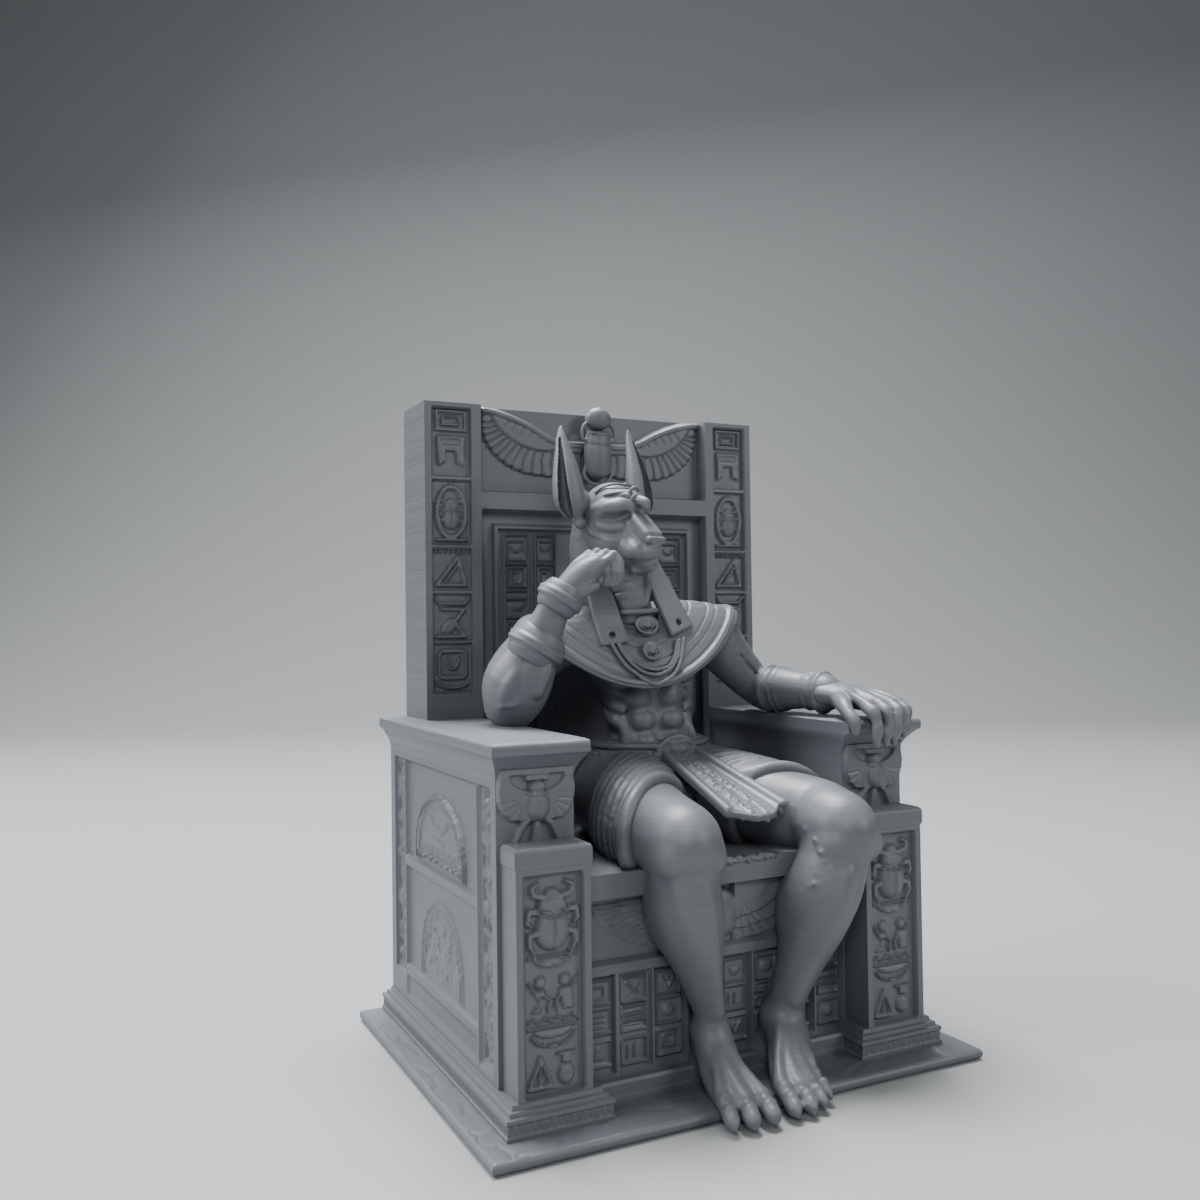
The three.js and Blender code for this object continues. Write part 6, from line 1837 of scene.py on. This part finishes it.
@dataclass
class Wrap:
    """The kilt, the belt with its ring buckle, and the stiff apron between the thighs."""
    shop: Workshop

    def kilt(self) -> None:
        """A pleated wrap round the hips and over each thigh, with a rolled hem."""
        clay = Clay((-25, -34, 45.6), (36, 20, 69), 0.58)
        clay.add(Column([(45, 4, 6.6, 17, 11.8), (54, 3.8, 6.2, 18.6, 12.1), (61, 3.4, 5.6, 16.4, 10.9),
                         (66, 3, 5, 13.8, 9.4), (68, 3, 5, 13.0, 9.0)]))
        for plan, slope, x0, y0 in ((RIGHT_LEG, 0.68, -4.0, -17.5), (LEFT_LEG, -0.2, 16.0, -18.8)):
            h, m, k = (np.array(row, float) for row in (plan.hip, plan.mid, plan.knee))
            centre = m + (k - m) * 0.32 + [0, 0, -0.4]
            thigh = [(*h, 12.2), (*m, 11.5), (*centre, 10.9), (*(centre * 0.4 + k * 0.6), 10.4)]
            clay.add(Strand(thigh, squeeze=((0, 0, 1), 0.92)), 1.6)
            low, high = ((-60, -60, 0), (3, 60, 80)) if plan.side is Side.RIGHT else ((5, -60, 0),
                    (60, 60, 80))
            clay.cut(Beyond((x0, y0, 0), (slope, -1, 0), low, high), 0.3)
            edge = []
            for a in np.linspace(0, 2 * math.pi, 41):
                x = centre[0] + 11.3 * math.cos(a)
                edge.append((x, y0 + slope * (x - x0) + 0.6, centre[2] + 10.1 * math.sin(a)))
            clay.add(Strand([(*row, 1.7) for row in edge], 2), 0.3)
            raised = [(*row[:3], row[3] + 0.55) for row in thigh]
            for back in (4.6, 7.2, 9.8, 12.4, 15.0, 17.6):
                band = Slice(Strand(raised, squeeze=((0, 0, 1), 0.92)), (x0, y0 + back, 0), (slope, -1, 0),
                             1.4)
                clay.add(band, 0.35)
        clay.keep((-60, -60, 45.8), (60, 60, 69))
        self.shop.place("kilt", clay.mesh("kilt"))

    def belt(self) -> None:
        """Two rolled cords with small ovals between them, and the ring buckle with its boss."""
        clay = Clay((-14, -9, 60), (20, 18, 71), 0.40)
        clay.add(Column([(61.8, 3, 5, 14.0, 9.6), (67.4, 3, 5, 13.6, 9.3)]))
        turns = np.linspace(0, 2 * math.pi, 41)
        for z, wide, deep, radius in ((62.6, 14.3, 9.9, 0.7), (66.7, 14.0, 9.7, 0.75)):
            clay.add(Strand([(3 + wide * math.cos(a), 5 + deep * math.sin(a), z, radius) for a in turns],
                            2), 0.4)
        for a in np.radians(np.arange(0, 360, 15)):
            clay.add(Egg((3 + 14.2 * math.cos(a), 5 + 9.8 * math.sin(a), 64.7), (1.3, 1.0, 0.8),
                         (0, 0, math.degrees(a) + 90)), 0.3)
        loop = [(4.2 + 4.5 * math.cos(a), -5.6 + 0.7 * math.cos(a) ** 2, 65.0 + 3.7 * math.sin(a), 0.7)
                for a in turns]
        clay.add(Strand(loop, 2), 0.3)
        clay.add(Egg((4.2, -4.6, 65.2), (4.2, 1.3, 3.4)), 0.3)
        clay.add(Egg((4.4, -5.8, 66.2), (2.3, 0.8, 1.7)), 0.4)
        clay.add(Strand([(2.0, -5.7, 67.2, 0.3), (4.4, -6.5, 67.7, 0.35), (6.8, -5.7, 67.2, 0.3)]), 0.3)
        for x in (3.4, 5.4):
            clay.cut(Egg((x, -6.7, 66.4), (0.5, 0.5, 0.35)), 0.2)
        clay.add(Egg((-5.9, -4.3, 64.8), (1.8, 0.6, 0.7)), 0.3)
        self.shop.place("belt", clay.mesh("belt"))

    def apron(self) -> None:
        """A plank with raised borders, long ridges, a deep groove by its left border and a pointed end."""
        clay = Clay((-4, -37, 50), (20, 0, 68), 0.31)
        root, end = np.array([5.2, -4.4, 64.6]), np.array([8.6, -29.6, 55.2])
        along = unit(end - root)
        lift = unit(np.cross((1, 0, 0), along))
        lift = lift if lift[2] > 0 else -lift
        clay.add(Plank(tuple(root), tuple(end), (5.0, 7.8), 1.5, (1, 0, 0)))
        clay.add(Plank(tuple(end - along * 0.5), tuple(end + along * 3.6), (7.6, 2.2), 1.5, (1, 0, 0)), 0.3)

        def line(near: float, far: float, radius: float, high: float, reach: float = 0.0) -> Strand:
            """A strand along the board, from near at its root to far at its end."""
            a, b = root + [near, 0, 0] + lift * high, end + [far, 0, 0] + along * reach + lift * high
            return Strand([(*a, radius), (*((a + b) / 2), radius), (*b, radius)], 3, ((1, 0, 0), 1.5))
        clay.add(line(-4.2, -6.8, 0.62, 0.8), 0.3)
        clay.add(line(4.3, 6.9, 0.85, 0.9), 0.3)
        clay.add(line(-1.6, -2.6, 0.4, 0.7, 2.0), 0.3)
        clay.add(line(0.4, 0.8, 0.36, 0.7, 2.6), 0.3)
        clay.cut(line(2.5, 4.4, 0.55, 1.0, 2.0), 0.2)
        clay.cut(line(-2.9, -4.6, 0.28, 0.9, 1.0), 0.2)
        rng = np.random.default_rng(91)
        for _ in range(150):
            t, w = rng.uniform(0.0, 1.05), rng.uniform(-0.72, 0.32)
            c = root + (end - root) * t + [w * (5.0 + 2.6 * t), 0, 0] + lift * 0.95
            clay.cut(Egg(tuple(c), (0.3, 0.5, 0.35)), 0.25)
        for x, reach in ((-6.2, 0.2), (-4.4, 1.6), (-2.6, 2.6), (0.4, 3.6), (3.4, 2.2), (6.4, 0.2)):
            c = end + [x, 0, 0] + along * reach - lift * 0.5
            clay.add(Strand([(*c, 0.5), (*(c + [0.1, -0.1, -rng.uniform(0.3, 0.8)]), 0.3)]), 0.4)
        self.shop.place("apron", clay.mesh("apron"))

    def build(self) -> None:
        """Makes the wrap."""
        self.kilt()
        self.belt()
        self.apron()


@dataclass
class Figure:
    """The seated figure."""
    shop: Workshop

    def build(self) -> None:
        """Makes the figure."""
        for plan in (RIGHT_LEG, LEFT_LEG):
            Leg(plan, self.shop).build()
        Trunk(self.shop).build()
        collar = Collar(self.shop)
        collar.build()
        collar.jewels()
        Head(self.shop).build()
        HeadCloth(self.shop, collar).build()
        Arms(self.shop).build()
        Wrap(self.shop).build()


# Finish, stage and camera

Value = float | bpy.types.NodeSocket


class Nodes:
    """A thin helper that adds nodes to a tree and links them."""

    def __init__(self, tree: bpy.types.NodeTree) -> None:
        """Works on one tree."""
        self.tree = tree

    def add(self, kind: str, inputs: dict | None = None, **settings: object) -> bpy.types.Node:
        """Adds a node.

        Args:
            kind: the node's type name.
            inputs: socket name or number to a value or to another node's output socket.
            settings: attributes of the node itself.
        Returns:
            The node.
        """
        node = self.tree.nodes.new(kind)
        for key, value in settings.items():
            setattr(node, key, value)
        for key, value in (inputs or {}).items():
            if isinstance(value, bpy.types.NodeSocket):
                self.tree.links.new(value, node.inputs[key])
            else:
                node.inputs[key].default_value = value
        return node

    def math(self, operation: str, a: Value, b: Value = 0.0, c: Value = 0.0) -> bpy.types.NodeSocket:
        """The output of a Math node."""
        return self.add("ShaderNodeMath", {0: a, 1: b, 2: c}, operation=operation).outputs[0]


def layer_group() -> bpy.types.NodeTree:
    """Print layers: a bead height across each layer, a random tone for each layer and the grooves.

    The layer number is floor(z / pitch + wobble), and the bead's height is sqrt(1 - (2 f - 1)^2) with f
    the fraction.
    """
    tree = bpy.data.node_groups.new("print_layers", "ShaderNodeTree")
    face = tree.interface
    for name, value in (("Pitch", 0.42), ("Wobble", 0.12)):
        socket = face.new_socket(name, in_out="INPUT", socket_type="NodeSocketFloat")
        socket.default_value = value
    for name in ("Bead", "Tone", "Grain", "Scuff"):
        face.new_socket(name, in_out="OUTPUT", socket_type="NodeSocketFloat")
    nodes = Nodes(tree)
    inputs = nodes.add("NodeGroupInput")
    outputs = nodes.add("NodeGroupOutput")
    where = nodes.add("ShaderNodeTexCoord").outputs["Object"]
    scaled = nodes.add("ShaderNodeVectorMath", {0: where, 1: (1000, 1000, 1000)},
                       operation="MULTIPLY").outputs[0]
    height = nodes.add("ShaderNodeSeparateXYZ", {0: scaled}).outputs["Z"]
    drift = nodes.add("ShaderNodeTexNoise", {"Vector": scaled, "Scale": 0.05, "Detail": 1.0}).outputs[0]
    wander = nodes.math("MULTIPLY", nodes.math("SUBTRACT", drift, 0.5), inputs.outputs["Wobble"])
    level = nodes.math("ADD", nodes.math("DIVIDE", height, inputs.outputs["Pitch"]), wander)
    layer = nodes.math("FLOOR", level)
    along = nodes.math("MULTIPLY_ADD", nodes.math("FRACT", level), 2.0, -1.0)
    bead = nodes.math("SQRT", nodes.math("SUBTRACT", 1.0,
                                         nodes.math("POWER", nodes.math("ABSOLUTE", along), 2.0)))
    tone = nodes.add("ShaderNodeTexWhiteNoise", {"W": layer}, noise_dimensions="1D").outputs["Value"]
    grain = nodes.add("ShaderNodeTexNoise", {"Vector": scaled, "Scale": 3.2, "Detail": 3.0,
                                             "Roughness": 0.6}).outputs[0]
    flat = nodes.add("ShaderNodeVectorMath", {0: scaled, 1: (0.5, 0.5, 6.0)},
                     operation="MULTIPLY").outputs[0]
    scuff = nodes.add("ShaderNodeTexNoise", {"Vector": flat, "Scale": 0.35, "Detail": 4.0,
                                             "Roughness": 0.65}).outputs[0]
    for name, value in (("Bead", bead), ("Tone", tone), ("Grain", grain), ("Scuff", scuff)):
        tree.links.new(value, outputs.inputs[name])
    return tree


def dress(finish: Plastic) -> bpy.types.Material:
    """The grey plastic: layer lines in its tone, gloss and surface.

    Args:
        finish: the finish.
    Returns:
        The material.
    """
    material = bpy.data.materials.new(finish.name)
    material.use_nodes = True
    nodes = Nodes(material.node_tree)
    shader = material.node_tree.nodes["Principled BSDF"]
    layers = nodes.add("ShaderNodeGroup", {}, node_tree=layer_group())
    layers.inputs["Pitch"].default_value = finish.pitch
    tone = nodes.math("MULTIPLY_ADD", layers.outputs["Tone"], finish.layer_tone, 1 - finish.layer_tone / 2)
    scuff = nodes.math("MULTIPLY_ADD", layers.outputs["Scuff"], 0.16, 0.92)
    shade = nodes.math("MULTIPLY", tone, scuff)
    colour = nodes.add("ShaderNodeVectorMath", {0: (*finish.base,), 1: (1, 1, 1)}, operation="MULTIPLY")
    material.node_tree.links.new(shade, colour.inputs[1])
    material.node_tree.links.new(colour.outputs[0], shader.inputs["Base Color"])
    gloss = nodes.math("MULTIPLY_ADD", layers.outputs["Tone"], 0.10, finish.roughness - 0.05)
    material.node_tree.links.new(gloss, shader.inputs["Roughness"])
    rise = nodes.math("MULTIPLY", layers.outputs["Bead"], finish.layer_depth)
    rise = nodes.math("MULTIPLY_ADD", layers.outputs["Tone"], finish.layer_depth * 0.9, rise)
    rise = nodes.math("MULTIPLY_ADD", layers.outputs["Grain"], finish.grain * 0.1, rise)
    bump = nodes.add("ShaderNodeBump", {"Height": rise, "Strength": 1.0, "Distance": MM})
    material.node_tree.links.new(bump.outputs[0], shader.inputs["Normal"])
    shader.inputs["Specular IOR Level"].default_value = 0.5
    return material


@dataclass
class Studio:
    """The table, the backdrop, the lamps and the camera at the photograph's place."""
    eye: Point = (-124.84, -226.61, 94.43)
    back: Point = (-0.4453, -0.8952, -0.0205)
    up: Point = (0.0025, -0.0241, 0.9997)
    lens: float = 33.89
    sensor: float = 36.0

    def table(self) -> None:
        """A pale sweep: a flat table that turns up into a backdrop behind the object."""
        away = -unit((self.back[0], self.back[1], 0))
        aside = np.array([-away[1], away[0], 0.0])
        turns = np.linspace(0, math.pi / 2, 17)
        path = [(-1.6, 0.0), *((0.75 + 0.5 * math.sin(a), 0.5 - 0.5 * math.cos(a)) for a in turns),
                (1.25, 2.2)]
        points = []
        for side in (-3.0, 3.0):
            points += [away * s + aside * side + np.array([0, 0, z]) for s, z in path]
        count = len(path)
        quads = [(i + count, i + count + 1, i + 1, i) for i in range(count - 1)]
        mesh = facets_to_mesh("sweep", np.array(points) / MM, np.array(quads))
        mesh.polygons.foreach_set("use_smooth", np.ones(len(mesh.polygons), bool))
        sweep = bpy.data.objects.new("sweep", mesh)
        bpy.context.scene.collection.objects.link(sweep)
        material = bpy.data.materials.new("pale_table")
        material.use_nodes = True
        shader = material.node_tree.nodes["Principled BSDF"]
        shader.inputs["Base Color"].default_value = (0.28, 0.292, 0.30, 1)
        shader.inputs["Roughness"].default_value = 0.7
        mesh.materials.append(material)

    def lamp(self, name: str, place: Point, aim: Point, size: Point, power: float) -> None:
        """An area lamp."""
        data = bpy.data.lights.new(name, "AREA")
        data.shape = "RECTANGLE"
        data.size, data.size_y = size
        data.energy = power
        lamp = bpy.data.objects.new(name, data)
        bpy.context.scene.collection.objects.link(lamp)
        lamp.location = place
        way = Vector(aim) - Vector(place)
        lamp.rotation_euler = way.to_track_quat("-Z", "Y").to_euler()

    def lamps(self) -> None:
        """One strong lamp overhead, four weaker ones round the object, and a dim room."""
        self.lamp("overhead", (0.0, 0.26, 1.0), (0, 0, 0.07), (0.45, 0.45), 30.0)
        self.lamp("back_left", (-0.7, 0.6, 0.7), (0, 0, 0.07), (0.45, 0.45), 9.0)
        self.lamp("left", (-0.85, 0.1, 0.7), (0, 0, 0.07), (0.45, 0.45), 7.0)
        self.lamp("front_right", (0.7, -0.9, 0.6), (0, 0, 0.07), (0.45, 0.45), 5.5)
        self.lamp("front_left", (-0.28, -0.5, 0.42), (0, 0, 0.08), (0.2, 0.2), 1.5)
        world = bpy.data.worlds.new("room")
        world.use_nodes = True
        world.node_tree.nodes["Background"].inputs["Color"].default_value = (0.80, 0.82, 0.85, 1)
        world.node_tree.nodes["Background"].inputs["Strength"].default_value = 0.03
        bpy.context.scene.world = world

    def camera(self) -> None:
        """The camera."""
        data = bpy.data.cameras.new("camera")
        data.lens = self.lens
        data.sensor_width = self.sensor
        data.clip_start, data.clip_end = 0.01, 20.0
        camera = bpy.data.objects.new("camera", data)
        bpy.context.scene.collection.objects.link(camera)
        back, up = Vector(self.back).normalized(), Vector(self.up)
        right = up.cross(back).normalized()
        up = back.cross(right)
        camera.matrix_world = Matrix((right, up, back)).transposed().to_4x4()
        camera.location = Vector(self.eye) * MM
        bpy.context.scene.camera = camera


def main() -> None:
    """Builds the whole scene."""
    logging.basicConfig(level=logging.INFO, format="%(message)s")
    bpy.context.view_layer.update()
    shop = Workshop(dress(Plastic()))
    Plinth(shop).build()
    for side in Side:
        ArmBlock(side, shop).build()
    Seat(shop).build()
    BackSlab(shop).build()
    Figure(shop).build()
    studio = Studio()
    studio.table()
    studio.lamps()
    studio.camera()


if __name__ == "__main__":
    main()
